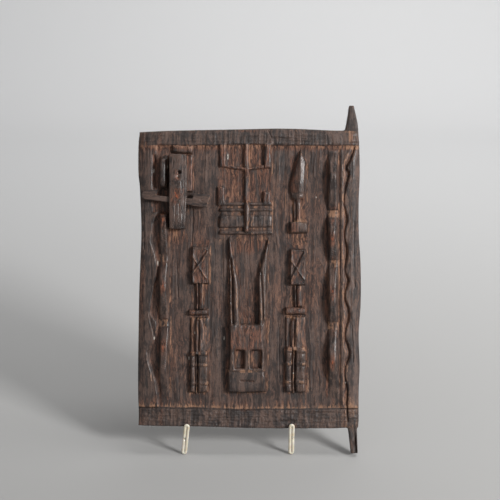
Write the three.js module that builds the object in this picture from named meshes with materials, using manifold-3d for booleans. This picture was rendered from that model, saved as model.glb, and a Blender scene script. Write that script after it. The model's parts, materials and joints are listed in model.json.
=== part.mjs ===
// A small carved wooden door with corner pivot pegs and a sliding lock bolt, leaning on a wire stand.
// Millimetres, +Z up, carved face towards -Y, origin on the floor under the middle of the whole.

import * as THREE from 'three';
import { mergeVertices } from 'three/addons/utils/BufferGeometryUtils.js';
import Module from 'manifold-3d';

const wasm = await Module();
wasm.setup();

// Driving dimensions. The door has axes of its own: x to the right, y up the board and z out of
// the carved face, from the middle of the lower edge of its back. Levels are heights along that z.

const LEAN = THREE.MathUtils.degToRad(18); // the board leans back from upright
const EDGE_HEIGHT = 24;                    // lower edge of the back, above the floor
const GAP = 0.3;                           // between pieces that touch
const BURIED = 4;                          // how far a raised form reaches down into the board
const CLEAR = 30;                          // a cut reaches this far past the wood that it opens

const BOARD = { ground: 16, face: 18, arris: 1.2, halfWidth: 120 };

const BOARD_LEFT = [
  [-118, 3], [-117.6, 15], [-118.4, 40], [-118.2, 80], [-117.2, 142], [-116, 175],
  [-114.8, 211], [-116.3, 253], [-118, 272], [-118, 300], [-116.8, 313],
];
const BOARD_TOP = [
  [-114, 315.4], [-77, 316.8], [-9, 318.2], [30, 319], [60, 318.3], [85, 317],
];
const BOARD_RIGHT = [
  [116.6, 314], [117.6, 302], [118.1, 270], [117, 240], [117.2, 205], [119, 176], [119.2, 134],
  [117, 100], [118, 66], [117, 40], [117, 6],
];
const BOARD_BOTTOM = [[101, -0.3], [34, -0.2], [-10, 0.3], [-43, 1.4], [-111, 2.5]];

const PEG_UPPER = {
  root: { y: 306, left: 101.5, right: 116.8, back: 2, front: 17.5, corner: 2 },
  neck: { y: 325, left: 103.6, right: 115.6, back: 3, front: 16.5, corner: 2 },
  end: { y: 343.5, left: 106.8, right: 111.5, back: 5, front: 14, corner: 0.8 },
};
const PEG_LOWER = {
  root: { y: 10, left: 105.6, right: 116.8, back: 2, front: 17.5, corner: 1.5 },
  neck: { y: -6, left: 106.4, right: 116.2, back: 5, front: 17.8, corner: 1.5 },
  end: { y: -26.6, left: 108.4, right: 115.4, back: 10, front: 18, corner: 0.8 },
};

// The scalloped edges of the sunk field, from the bottom up.
const STRIP_EDGE = [
  [-96, 21.5], [-98.5, 44], [-103.5, 62], [-107, 80], [-101, 96], [-98.5, 112], [-105, 124],
  [-101, 150], [-97, 162], [-99.5, 181], [-104, 200], [-101, 222], [-98, 232], [-99, 262], [-98, 300],
];
const POST_EDGE = [
  [104, 21.5], [103, 49], [101.4, 62], [106.6, 78], [105, 88], [102.1, 100], [106.6, 121],
  [102.3, 141.5], [106.1, 156.5], [102.3, 169], [104.8, 189], [101.9, 207.5], [104.9, 222.5],
  [101.2, 243], [106.8, 269.5], [104.4, 277], [110, 290], [113, 300],
];
const EDGE_STEPS = { ends: 12, sides: 22, foot: 8, field: 40 };

const CRACK = { left: 103.6, right: 104.6, bottom: 6, top: 48, narrows: 36, depth: 4 };

// The two zigzag ridges, as [y, height over the ground] along their crests.
const RIDGE_RIGHT = {
  left: 83.5, right: 95, bevel: 3.2, drop: 2,
  crest: [[30, 3], [72, 10], [107, 5], [136, 11], [173.5, 5], [206.5, 11], [230, 5], [268, 10.5], [297, 3]],
};
const RIDGE_LEFT = {
  left: -95.5, right: -84.5, bevel: 3, drop: 1.75,
  crest: [[30, 3], [62, 8], [86, 8], [112, 4.5], [150, 9.5], [181, 4.5], [219, 9], [231, 7]],
};
const RIDGE_WING = {
  left: -95, right: -86, bevel: 2, drop: 1.25,
  crest: [[252.5, 6], [262, 9.5], [280, 9.5], [291, 5]],
};

const CROSS = {
  height: 3.6, arris: 1, armArris: 0.8,
  bars: [
    { left: -31.8, right: -23.8, bottom: 277, top: 303 },
    { left: 15.4, right: 23.6, bottom: 275, top: 303 },
    { left: -5.4, right: 0.4, bottom: 240, top: 303 },
    { left: -33.6, right: -25, bottom: 237, top: 257 },
    { left: 14.4, right: 23.6, bottom: 237, top: 252.5 },
    { left: -33.6, right: 25, bottom: 236.2, top: 240.4 },
    { left: -31.4, right: 25, bottom: 230.2, top: 234 },
    { left: -31.4, right: 25, bottom: 213.4, top: 227 },
    { left: -31.4, right: 25, bottom: 205.6, top: 210.2 },
  ],
  arms: [
    [-29, 281.2], [-5, 277.2], [0, 277], [16, 280],
    [16, 275], [-4.6, 273.6], [-17, 275], [-29, 277.2],
  ],
  body: { left: -30, right: 23.6, bottom: 206.5, top: 238, height: 2.4, arris: 0.5 },
  nose: [[-4.5, 243], [-1.6, 243], [1.4, 224], [-0.4, 217], [0.8, 208], [-5.4, 208], [-4.6, 217], [-7, 224]],
  noseHeight: 7.5, noseArris: 1.4,
};

const MASK = {
  arris: 1.4, hornArris: 0.8,
  brow: { left: -21.6, right: 18.4, bottom: 61, top: 111.6, height: 9 },
  eyes: [
    { left: -15.4, right: -4.6, bottom: 64, top: 84 },
    { left: 1.2, right: 13.3, bottom: 64, top: 84 },
  ],
  eyeFloor: 3.4,
  muzzle: { left: -22.6, right: 18, bottom: 38.4, top: 60.6, height: 8 },
  mouth: { left: -8.4, right: 4.6, bottom: 50.2, top: 52.2, depth: 1.6 },
  hornLeft: [
    [-20.6, 203.5], [-19, 199], [-12.6, 163], [-10, 142],
    [-9.2, 110], [-20, 110], [-21.6, 175], [-22.6, 200],
  ],
  hornRight: [
    [21, 203.8], [21.6, 199], [19.4, 160], [18.4, 110],
    [10, 110], [9.2, 132], [9.6, 158.6], [19, 198],
  ],
  hornTip: { y: 204, height: 4.5 },
  hornRoot: { y: 110, height: 9 },
};

// The two standing figures. Each box is { centre, width, bottom, top, height }.
const FIGURE_LEFT = {
  box: { centre: -51.9, width: 18.7, bottom: 153, top: 193.2, height: 6.6 },
  neck: { centre: -51.4, width: 8, bottom: 126, top: 154, height: 5 },
  shoulder: { centre: -53.8, width: 21.4, bottom: 120.2, top: 126.2, height: 6 },
  torso: { centre: -52, width: 13.5, waist: 11, bottom: 79, top: 119, height: 6.6 },
  flanks: { centre: -52.4, width: 20, bottom: 79, top: 118, height: 2.8 },
  legs: [
    { centre: -59.8, width: 6.2, bottom: 38.4, top: 80, height: 5.4 },
    { centre: -49, width: 11.8, bottom: 38.4, top: 80, height: 6 },
  ],
  rings: [79, 67.2, 48.4],
};
const FIGURE_RIGHT = {
  box: { centre: 51.9, width: 17.8, bottom: 151.8, top: 190.6, height: 6.6 },
  neck: { centre: 52.4, width: 9, bottom: 129, top: 152, height: 5 },
  shoulder: { centre: 49, width: 22.4, bottom: 120.7, top: 129.2, height: 6 },
  torso: { centre: 49.2, width: 15, waist: 11, bottom: 84, top: 119, height: 6.6 },
  flanks: { centre: 49.2, width: 21.6, bottom: 84, top: 119, height: 2.8 },
  legs: [
    { centre: 42.4, width: 7.6, bottom: 38.4, top: 84, height: 5.4 },
    { centre: 54.6, width: 11.2, bottom: 38.4, top: 84, height: 6 },
  ],
  rings: [82.5, 69, 49.6],
};
const RING = { height: 1, thickness: 2.6, overhang: 0.3, arris: 0.6 };
const SALTIRE = { thickness: 1.8, height: 0.9, inset: 1.6, arris: 0.3 };
const FIGURE_ARRIS = { box: 1.2, neck: 1.4, shoulder: 1, torso: 1.8, flanks: 0.8, legs: 1.6 };
const TORSO_WIDEST = 0.6; // of its height, where the flanks of the body stand furthest out

// What stands on the head of the right figure: a pointed cap, its neck and a block.
const CAP = {
  outline: [
    [55, 296.4], [60.2, 284], [60.6, 252], [58, 243],
    [46.4, 243], [43.4, 252], [44, 262], [50.4, 285],
  ],
  height: 7, arris: 2,
  neck: { centre: 51.6, width: 8, bottom: 218, top: 245, height: 4.6 },
  block: { centre: 52.7, width: 19.2, bottom: 206.6, top: 219.4, height: 6.4 },
};

const LOCK = {
  pad: { left: -85.6, right: -59.6, bottom: 236, top: 291.5, height: 3.5, arris: 0.6 },
  cap: { left: -82, right: -59.6, bottom: 292.4, top: 300.8, height: 4.5, arris: 0.9 },
  left: -84.4, right: -65.6, foot: 211.6, head: 290.8, taper: 1.4, rise: 14, arris: 1.2,
  hole: { x: -73.6, y: 271.4, radius: 1.5, depth: 3 },
};

// The bolt lies in its own axes: x along it from the middle of its waist, y across, z out.
const BOLT = {
  x: -75.6, y: 243, tilt: THREE.MathUtils.degToRad(-5.4),
  low: 1.9, thickness: 6.4, arris: 0.7,
  leftEnd: -38.6, rightEnd: 34.4, waistLeft: -22, waistRight: 16.2,
  leftTop: 8.3, leftBottom: -3.7, rightTop: 8.2, rightBottom: -5.7, waistTop: 2.3, waistBottom: -5.2,
  rightSlant: 2.6, leftSlant: 1, leftTaper: 0.6,
  travelLeft: 6, travelRight: 12,
};
const RIDGE_CUT = { left: -98.4, right: -84, bottom: 230, top: 253 };

const WIRE = { diameter: 3, sides: 8, pitch: 3.3, tip: 35.5, cutEnd: 19, ledge: 16.4 };
const LEDGE_RISE = THREE.MathUtils.degToRad(15);
const ARMS = [
  { name: 'stand_left_wire', x: -69.5, outward: -1, tilt: THREE.MathUtils.degToRad(6.2) },
  { name: 'stand_right_wire', x: 45, outward: 1, tilt: THREE.MathUtils.degToRad(0.6) },
];
const REST = { offset: 2, top: 165, upperBar: 120 };
const REAR = { y: 100, run: 12, barHeight: 16 };
const BEND = { ledge: 3.5, heel: 4, top: 8, foot: 6, steps: 5 };

const FINISHES = {
  board: { color: 0x4c3d38, roughness: 0.6 },
  block: { color: 0x4a3b34, roughness: 0.55 },
  bolt: { color: 0x47393a, roughness: 0.6 },
  wire: { color: 0xe6dfcd, roughness: 0.42 },
};

// Closed meshes to solids and back.

const WELD = 1e-4;

function solidOf(geometry) {
  const bare = new THREE.BufferGeometry();
  bare.setAttribute('position', geometry.attributes.position);
  bare.setIndex(geometry.index);
  const welded = mergeVertices(bare, WELD);
  const vertProperties = Float32Array.from(welded.attributes.position.array);
  const triVerts = Uint32Array.from(welded.index.array);
  return new wasm.Manifold(new wasm.Mesh({ numProp: 3, vertProperties, triVerts }));
}

function geometryOf(solid) {
  const { vertProperties, triVerts } = solid.getMesh();
  const geometry = new THREE.BufferGeometry();
  geometry.setAttribute('position', new THREE.BufferAttribute(Float32Array.from(vertProperties), 3));
  geometry.setIndex(Array.from(triVerts));
  geometry.computeVertexNormals();
  return geometry;
}

function joined(solids) {
  return solids.reduce((whole, solid) => whole.add(solid));
}

// Shapes of the carver.

function outlineOf(points) {
  return new THREE.Shape(points.map(([x, y]) => new THREE.Vector2(x, y)));
}

function rectangle({ left, right, bottom, top }) {
  return outlineOf([[left, bottom], [right, bottom], [right, top], [left, top]]);
}

function smooth(points, steps) {
  const knots = points.map(([x, y]) => new THREE.Vector2(x, y));
  return new THREE.SplineCurve(knots).getPoints(steps);
}

// A flat form with its outline in the plane of the board and both of its arrises bevelled.
function slab(shape, low, high, arris) {
  const geometry = new THREE.ExtrudeGeometry(shape, {
    depth: high - low - 2 * arris,
    bevelEnabled: arris > 0,
    bevelThickness: arris,
    bevelSize: arris,
    bevelOffset: -arris,
    bevelSegments: 1,
  });
  geometry.translate(0, 0, low + arris);
  return solidOf(geometry);
}

// A form raised over the ground by a height, with its root buried in the board.
function raised(shape, height, arris) {
  return slab(shape, BOARD.ground - BURIED, BOARD.ground + height, arris);
}

function raisedBox({ centre, width, bottom, top, height }, arris) {
  const left = centre - width / 2;
  return raised(rectangle({ left, right: left + width, bottom, top }), height, arris);
}

// A form with its side view drawn as [y, level] points and run across the board from left to right.
function crosswise(points, left, right, bevel, drop) {
  const geometry = new THREE.ExtrudeGeometry(outlineOf(points), {
    depth: right - left - 2 * bevel,
    bevelEnabled: bevel > 0,
    bevelThickness: bevel,
    bevelSize: drop,
    bevelOffset: -drop,
    bevelSegments: 1,
  });
  geometry.translate(0, 0, left + bevel);
  const turn = new THREE.Matrix4().makeBasis(
    new THREE.Vector3(0, 1, 0),
    new THREE.Vector3(0, 0, 1),
    new THREE.Vector3(1, 0, 0),
  );
  geometry.applyMatrix4(turn);
  return solidOf(geometry);
}

// A bar through eight-sided sections square to the board's y, from the lowest section to the highest.
function loft(sections) {
  const ring = ({ y, left, right, back, front, corner }) => [
    [left + corner, y, back], [right - corner, y, back], [right, y, back + corner],
    [right, y, front - corner], [right - corner, y, front], [left + corner, y, front],
    [left, y, front - corner], [left, y, back + corner],
  ];
  const rings = sections.map(ring);
  const sides = rings[0].length;
  const index = [];
  for (let level = 0; level + 1 < rings.length; level += 1) {
    for (let side = 0; side < sides; side += 1) {
      const a = level * sides + side;
      const b = level * sides + (side + 1) % sides;
      index.push(a, a + sides, b, b, a + sides, b + sides);
    }
  }
  const last = (rings.length - 1) * sides;
  for (let side = 1; side + 1 < sides; side += 1) {
    index.push(0, side, side + 1);
    index.push(last, last + side + 1, last + side);
  }
  const geometry = new THREE.BufferGeometry();
  geometry.setAttribute('position', new THREE.Float32BufferAttribute(rings.flat(2), 3));
  geometry.setIndex(index);
  return solidOf(geometry);
}

// The board itself, with its sunk field, its bands and its pegs.

function boardBlank() {
  const points = [
    ...smooth(BOARD_TOP, EDGE_STEPS.ends),
    ...smooth(BOARD_RIGHT, EDGE_STEPS.sides),
    ...smooth(BOARD_BOTTOM, EDGE_STEPS.foot),
    ...smooth(BOARD_LEFT, EDGE_STEPS.sides),
  ];
  return slab(new THREE.Shape(points), 0, BOARD.face, BOARD.arris);
}

function sunkField() {
  const right = smooth(POST_EDGE, EDGE_STEPS.field);
  const left = smooth(STRIP_EDGE, EDGE_STEPS.field).reverse();
  return slab(new THREE.Shape([...right, ...left]), BOARD.ground, BOARD.face + CLEAR, 0);
}

function pegs() {
  const upper = loft([PEG_UPPER.root, PEG_UPPER.neck, PEG_UPPER.end]);
  const lower = loft([PEG_LOWER.end, PEG_LOWER.neck, PEG_LOWER.root]);
  return upper.add(lower);
}

function crack() {
  const { left, right, bottom, top, narrows, depth } = CRACK;
  const wedge = outlineOf([[left, bottom], [right, bottom], [right, narrows], [left, top]]);
  return slab(wedge, BOARD.face - depth, BOARD.face + CLEAR, 0);
}

// The relief.

function zigzagRidge({ left, right, bevel, drop, crest }) {
  const base = BOARD.ground - BURIED - drop;
  const bottom = crest[0][0];
  const top = crest[crest.length - 1][0];
  const points = crest.map(([y, height]) => [y, BOARD.ground + height]);
  return crosswise([[top, base], [bottom, base], ...points], left, right, bevel, drop);
}

function crossFigure() {
  const bars = CROSS.bars.map((bar) => raised(rectangle(bar), CROSS.height, CROSS.arris));
  const arms = raised(outlineOf(CROSS.arms), CROSS.height, CROSS.armArris);
  const body = raised(rectangle(CROSS.body), CROSS.body.height, CROSS.body.arris);
  const nose = raised(outlineOf(CROSS.nose), CROSS.noseHeight, CROSS.noseArris);
  return joined([...bars, arms, body, nose]);
}

function horn(points) {
  const { hornRoot, hornTip } = MASK;
  const slope = crosswise([
    [hornTip.y, 0],
    [hornRoot.y, 0],
    [hornRoot.y, BOARD.ground + hornRoot.height],
    [hornTip.y, BOARD.ground + hornTip.height],
  ], -BOARD.halfWidth, BOARD.halfWidth, 0, 0);
  return raised(outlineOf(points), hornRoot.height, MASK.hornArris).intersect(slope);
}

function hornedMask() {
  const { brow, eyes, eyeFloor, muzzle, mouth, arris } = MASK;
  const face = raised(rectangle(brow), brow.height, arris);
  const sockets = eyes.map((eye) => slab(rectangle(eye), BOARD.ground + eyeFloor, BOARD.ground + CLEAR, 0));
  const jaw = raised(rectangle(muzzle), muzzle.height, arris);
  const level = BOARD.ground + muzzle.height;
  const slit = slab(rectangle(mouth), level - mouth.depth, level + CLEAR, 0);
  const head = face.subtract(joined(sockets)).add(jaw).subtract(slit);
  return joined([head, horn(MASK.hornLeft), horn(MASK.hornRight)]);
}

function saltire({ centre, width, bottom, top, height }) {
  const { thickness, inset } = SALTIRE;
  const halfWidth = width / 2 - inset;
  const half = thickness / 2;
  return joined([-1, 1].map((side) => raised(outlineOf([
    [centre - side * halfWidth - half, bottom + inset],
    [centre - side * halfWidth + half, bottom + inset],
    [centre + side * halfWidth + half, top - inset],
    [centre + side * halfWidth - half, top - inset],
  ]), height + SALTIRE.height, SALTIRE.arris)));
}

function torso({ centre, width, waist, bottom, top, height }) {
  const widest = bottom + (top - bottom) * TORSO_WIDEST;
  return raised(outlineOf([
    [centre - waist / 2, bottom],
    [centre + waist / 2, bottom],
    [centre + width / 2, widest],
    [centre + width / 4, top],
    [centre - width / 4, top],
    [centre - width / 2, widest],
  ]), height, FIGURE_ARRIS.torso);
}

function legRings(leg, rings) {
  const width = leg.width + 2 * RING.overhang;
  return rings.map((y) => raisedBox({
    centre: leg.centre,
    width,
    bottom: y - RING.thickness / 2,
    top: y + RING.thickness / 2,
    height: leg.height + RING.height,
  }, RING.arris));
}

function standingFigure({ box, neck, shoulder, torso: trunk, flanks, legs, rings }) {
  return joined([
    raisedBox(box, FIGURE_ARRIS.box),
    saltire(box),
    raisedBox(neck, FIGURE_ARRIS.neck),
    raisedBox(shoulder, FIGURE_ARRIS.shoulder),
    torso(trunk),
    raisedBox(flanks, FIGURE_ARRIS.flanks),
    ...legs.map((leg) => raisedBox(leg, FIGURE_ARRIS.legs)),
    ...legs.flatMap((leg) => legRings(leg, rings)),
  ]);
}

function pointedCap() {
  return joined([
    raised(outlineOf(CAP.outline), CAP.height, CAP.arris),
    raisedBox(CAP.neck, FIGURE_ARRIS.neck),
    raisedBox(CAP.block, FIGURE_ARRIS.shoulder),
  ]);
}

function lockGround() {
  const pad = raised(rectangle(LOCK.pad), LOCK.pad.height, LOCK.pad.arris);
  const cap = raised(rectangle(LOCK.cap), LOCK.cap.height, LOCK.cap.arris);
  return pad.add(cap);
}

// A cut drawn in the bolt's own axes, laid where the bolt lies.
function alongBolt(bounds, low, high) {
  const cut = slab(rectangle(bounds), low, high, 0);
  return cut.rotate([0, 0, THREE.MathUtils.radToDeg(BOLT.tilt)]).translate([BOLT.x, BOLT.y, 0]);
}

// The room that the bolt passes through as it slides, open above.
function boltSweep() {
  const low = BOARD.face + BOLT.low - GAP;
  return alongBolt({
    left: BOLT.leftEnd - BOLT.travelLeft - GAP,
    right: BOLT.rightEnd + BOLT.travelRight + GAP,
    bottom: BOLT.rightBottom - GAP,
    top: Math.max(BOLT.leftTop, BOLT.rightTop) + GAP,
  }, low, low + CLEAR);
}

function doorPanel() {
  const blank = boardBlank().add(pegs()).subtract(sunkField());
  const ridges = joined([RIDGE_RIGHT, RIDGE_LEFT, RIDGE_WING].map(zigzagRidge));
  const boltWay = slab(rectangle(RIDGE_CUT), BOARD.face, BOARD.face + CLEAR, 0);
  const figures = joined([
    crossFigure(),
    hornedMask(),
    standingFigure(FIGURE_LEFT),
    standingFigure(FIGURE_RIGHT),
    pointedCap(),
    lockGround(),
  ]);
  return blank.add(ridges.subtract(boltWay)).add(figures).subtract(crack()).subtract(boltSweep());
}

// The lock.

function boltOutline() {
  const b = BOLT;
  return outlineOf([
    [b.leftEnd, b.leftBottom + b.leftTaper], [b.waistRight, b.waistBottom],
    [b.waistRight, b.rightBottom], [b.rightEnd - b.rightSlant, b.rightBottom],
    [b.rightEnd, b.rightTop], [b.waistRight, b.rightTop], [b.waistRight, b.waistTop],
    [b.waistLeft, b.waistTop], [b.waistLeft, b.leftTop], [b.leftEnd + b.leftSlant, b.leftTop],
  ]);
}

function lockBolt() {
  const low = BOARD.face + BOLT.low;
  return slab(boltOutline(), low, low + BOLT.thickness, BOLT.arris);
}

function lockBlock() {
  const { left, right, foot, head, taper, rise, arris, hole, pad } = LOCK;
  const shape = outlineOf([[left, foot], [right - taper, foot], [right, head], [left, head]]);
  const top = BOARD.ground + rise;
  const body = slab(shape, BOARD.ground + GAP, top, arris);
  const rebate = slab(rectangle({
    left: pad.left - CLEAR,
    right: pad.right + CLEAR,
    bottom: pad.bottom - GAP,
    top: pad.top + CLEAR,
  }), 0, BOARD.ground + pad.height + GAP, 0);
  const channel = alongBolt({
    left: BOLT.leftEnd,
    right: BOLT.rightEnd,
    bottom: BOLT.rightBottom - GAP,
    top: BOLT.waistTop + GAP,
  }, 0, BOARD.face + BOLT.low + BOLT.thickness + GAP);
  const round = new THREE.Shape().absarc(hole.x, hole.y, hole.radius, 0, Math.PI * 2);
  const drilled = slab(round, top - hole.depth, top + CLEAR, 0);
  return body.subtract(rebate).subtract(channel).subtract(drilled);
}

// The stand.

// A wire's centre line: straight runs through the corners, each corner rounded to its own radius.
class WireLine extends THREE.Curve {
  constructor(corners) {
    super();
    this.points = [corners[0].at];
    for (let i = 1; i + 1 < corners.length; i += 1) {
      const [before, corner, after] = corners.slice(i - 1, i + 2);
      this.points.push(...WireLine.bend(before.at, corner.at, after.at, corner.radius));
    }
    this.points.push(corners[corners.length - 1].at);
    this.points = this.points.filter((point, i, all) => i === 0 || point.distanceTo(all[i - 1]) > WELD);
  }

  static bend(before, corner, after, radius) {
    const back = before.clone().sub(corner).normalize();
    const ahead = after.clone().sub(corner).normalize();
    const half = back.angleTo(ahead) / 2;
    const middle = back.clone().add(ahead).normalize();
    const centre = corner.clone().addScaledVector(middle, radius / Math.sin(half));
    const start = corner.clone().addScaledVector(back, radius / Math.tan(half)).sub(centre);
    const axis = back.clone().cross(ahead).normalize();
    const sweep = Math.PI - 2 * half;
    const points = [];
    for (let step = 0; step <= BEND.steps; step += 1) {
      points.push(start.clone().applyAxisAngle(axis, -sweep * step / BEND.steps).add(centre));
    }
    return points;
  }

  get steps() {
    return this.points.length - 1;
  }

  getPoint(t, target = new THREE.Vector3()) {
    const place = t * this.steps;
    const i = Math.min(Math.floor(place + WELD), this.steps - 1);
    return target.copy(this.points[i]).lerp(this.points[i + 1], place - i);
  }

  getPointAt(t, target) {
    return this.getPoint(t, target);
  }

  getTangentAt(t, target = new THREE.Vector3()) {
    const i = Math.round(t * this.steps);
    const before = this.points[Math.max(i - 1, 0)];
    const after = this.points[Math.min(i + 1, this.steps)];
    const here = this.points[i];
    const incoming = here.clone().sub(before).normalize();
    const outgoing = after.clone().sub(here).normalize();
    return target.copy(incoming).add(outgoing).normalize();
  }
}

function wireTube(line) {
  const section = new THREE.Shape();
  section.absarc(0, 0, WIRE.diameter / 2, 0, Math.PI * 2);
  return new THREE.ExtrudeGeometry(section, {
    steps: line.steps,
    curveSegments: WIRE.sides,
    bevelEnabled: false,
    extrudePath: line,
  });
}

// A point of the board's back, moved out from it, in the standing frame.
function behindBoard(x, up, offset) {
  const y = up * Math.sin(LEAN) + offset * Math.cos(LEAN);
  const z = EDGE_HEIGHT + up * Math.cos(LEAN) - offset * Math.sin(LEAN);
  return new THREE.Vector3(x, y, z);
}

// Where the rising ledge meets the line of the back rest, in the same upright plane.
function heelUnderBoard(ledge) {
  const rest = behindBoard(ledge.x, 0, REST.offset);
  const slope = Math.tan(LEDGE_RISE);
  const lean = Math.tan(LEAN);
  const reach = (rest.y - ledge.y + lean * (ledge.z - rest.z)) / (1 - lean * slope);
  return new THREE.Vector3(ledge.x, ledge.y + reach, ledge.z + reach * slope);
}

function standArm({ name, x, outward, tilt }) {
  const radius = WIRE.diameter / 2;
  const front = behindBoard(x, BOARD.arris, -BOARD.face).y - GAP - radius;
  const up = new THREE.Vector3(Math.sin(tilt), 0, Math.cos(tilt));
  const across = new THREE.Vector3(outward * Math.cos(tilt), 0, -outward * Math.sin(tilt));
  const at = (side, height) => new THREE.Vector3(x, front, 0)
    .addScaledVector(across, side * WIRE.pitch / 2)
    .addScaledVector(up, height);
  const ledge = at(1, WIRE.ledge);
  const heel = heelUnderBoard(ledge);
  const hairpin = WIRE.pitch / 2;
  const line = new WireLine([
    { at: at(1, WIRE.cutEnd) },
    { at: at(1, WIRE.tip - radius), radius: hairpin },
    { at: at(-1, WIRE.tip - radius), radius: hairpin },
    { at: at(-1, radius), radius: hairpin },
    { at: at(1, radius), radius: hairpin },
    { at: ledge, radius: BEND.ledge },
    { at: heel, radius: BEND.heel },
    { at: behindBoard(ledge.x, REST.top, REST.offset), radius: BEND.top },
    { at: new THREE.Vector3(ledge.x, REAR.y, radius), radius: BEND.foot },
    { at: new THREE.Vector3(ledge.x, REAR.y + REAR.run, radius) },
  ]);
  return { mesh: piece(name, wireTube(line), FINISHES.wire), x: ledge.x };
}

function crossBar(name, from, to, start) {
  const length = to - from - WIRE.diameter - 2 * GAP;
  const geometry = new THREE.CylinderGeometry(WIRE.diameter / 2, WIRE.diameter / 2, length, WIRE.sides);
  geometry.rotateZ(Math.PI / 2);
  const mesh = piece(name, geometry, FINISHES.wire);
  mesh.position.set((from + to) / 2, start.y, start.z);
  return mesh;
}

// The point of a rear leg at a height above the floor.
function rearLeg(x, height) {
  const top = behindBoard(x, REST.top, REST.offset);
  const foot = new THREE.Vector3(x, REAR.y, WIRE.diameter / 2);
  return foot.lerp(top, (height - foot.z) / (top.z - foot.z));
}

function piece(name, geometry, { color, roughness }) {
  const mesh = new THREE.Mesh(geometry, new THREE.MeshStandardMaterial({ color, roughness, metalness: 0 }));
  mesh.name = name;
  return mesh;
}

function leaningDoor() {
  const door = new THREE.Group();
  door.rotation.x = Math.PI / 2 - LEAN;
  door.position.z = EDGE_HEIGHT;
  const bolt = piece('lock_bolt', geometryOf(lockBolt()), FINISHES.bolt);
  bolt.position.set(BOLT.x, BOLT.y, 0);
  bolt.rotation.z = BOLT.tilt;
  door.add(piece('door_panel', geometryOf(doorPanel()), FINISHES.board));
  door.add(piece('lock_block', geometryOf(lockBlock()), FINISHES.block));
  door.add(bolt);
  return door;
}

function wireStand() {
  const stand = new THREE.Group();
  const [left, right] = ARMS.map(standArm);
  stand.add(left.mesh, right.mesh);
  stand.add(crossBar('stand_upper_bar', left.x, right.x, behindBoard(0, REST.upperBar, REST.offset)));
  stand.add(crossBar('stand_lower_bar', left.x, right.x, rearLeg(0, REAR.barHeight)));
  return stand;
}

// Everything, with the origin on the floor under the middle of the whole.
function standingDoor() {
  const whole = new THREE.Group();
  whole.add(leaningDoor(), wireStand());
  const box = new THREE.Box3().setFromObject(whole, true);
  const middle = box.getCenter(new THREE.Vector3());
  whole.position.set(-middle.x, -middle.y, -box.min.z);
  return whole;
}

export default standingDoor();
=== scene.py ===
"""A small carved wooden door with corner pegs and a sliding lock bolt, leaning on its wire stand.

The door has axes of its own, in millimetres: u to the right, v up the board and d out of the carved
face, from the middle of the lower edge of its back. Carved places are drawn in them, and BoardAxes
takes them to the room, in metres.
"""

from __future__ import annotations

import json
import logging
import math
from dataclasses import dataclass, field
from enum import Enum
from typing import Callable

import bpy
import numpy as np
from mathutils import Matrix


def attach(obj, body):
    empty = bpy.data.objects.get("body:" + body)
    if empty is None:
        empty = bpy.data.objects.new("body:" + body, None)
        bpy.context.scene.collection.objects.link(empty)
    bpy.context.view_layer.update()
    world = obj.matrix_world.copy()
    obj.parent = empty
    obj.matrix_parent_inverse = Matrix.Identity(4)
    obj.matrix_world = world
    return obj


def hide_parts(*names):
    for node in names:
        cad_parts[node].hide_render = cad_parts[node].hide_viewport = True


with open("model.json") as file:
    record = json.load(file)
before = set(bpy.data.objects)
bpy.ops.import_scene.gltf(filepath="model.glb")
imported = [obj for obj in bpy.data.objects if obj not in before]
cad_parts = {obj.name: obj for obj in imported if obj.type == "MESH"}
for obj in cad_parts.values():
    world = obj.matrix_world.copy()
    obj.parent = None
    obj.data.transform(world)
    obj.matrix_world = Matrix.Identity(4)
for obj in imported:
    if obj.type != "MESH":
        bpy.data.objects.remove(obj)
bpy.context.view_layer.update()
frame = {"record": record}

Array = np.ndarray
Point = tuple[float, float]
Colour = tuple[float, float, float]

MM = 0.001
GROUND = 16.0       # level of the sunk field over the back of the board
FACE = 18.0         # level of the bands, the post and the left strip
GAP = 0.3           # between pieces that touch

log = logging.getLogger("carved_door")


class Tint(Enum):
    """The ways in which a place on the wood differs from its dark patina, painted shade and painted highlights among
    them.
    """

    RUDDY = "ruddy"     # bare reddish brown, in hollows
    TAN = "tan"         # pale brown, rubbed or dusty
    EMBER = "ember"     # orange red, worn through on the peaks
    PALE = "pale"       # a whitish chip; also a painted highlight on a lit arris
    SHADE = "shade"     # painted shade: darker in corners, grooves, cracks, holes and splits, and on a face turned from the light
    SHEEN = "sheen"     # polished by hands
    CARVED = "carved"   # the carved face, as against the sides and the back


class Grain(Enum):
    """The direction in which the fibres run."""

    UP = "up"
    ACROSS = "across"


# Small shapes and curves


def ease(low: float, high: float, x: Array) -> Array:
    """Rises smoothly from 0 at low to 1 at high.

    Args:
        low: where the rise starts.
        high: where it ends.
        x: the places asked for.

    Returns:
        One value from 0 to 1 for each place.
    """
    t = np.clip((x - low) / (high - low), 0.0, 1.0)
    return t * t * (3.0 - 2.0 * t)


def bell(x: Array, width: float) -> Array:
    """A smooth bump, 1 in the middle and nearly nothing past its width."""
    return np.exp(-2.0 * (x / width) ** 2)


def spline(points: list[Point], steps: int = 400) -> Array:
    """A smooth curve through its points.

    Args:
        points: the points, in order.
        steps: how many stretches to cut the curve into.

    Returns:
        Points along the curve, one a row.
    """
    knots = np.array(points, float)
    last = len(knots) - 1
    place = np.linspace(0.0, last, steps + 1)
    i = np.minimum(place.astype(int), last - 1)
    t = (place - i)[:, None]
    before, here = knots[np.maximum(i - 1, 0)], knots[i]
    ahead, after = knots[i + 1], knots[np.minimum(i + 2, last)]
    leave, arrive = (ahead - before) / 2, (after - here) / 2
    return (
        (2 * here - 2 * ahead + leave + arrive) * t**3
        + (3 * ahead - 3 * here - 2 * leave - arrive) * t**2
        + leave * t
        + here
    )


def along_v(points: list[Point]) -> Callable[[Array], Array]:
    """A function that gives u for v on a smooth curve that runs up or down the board."""
    curve = spline(points)
    order = np.argsort(curve[:, 1])
    return lambda v: np.interp(v, curve[order, 1], curve[order, 0])


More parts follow.
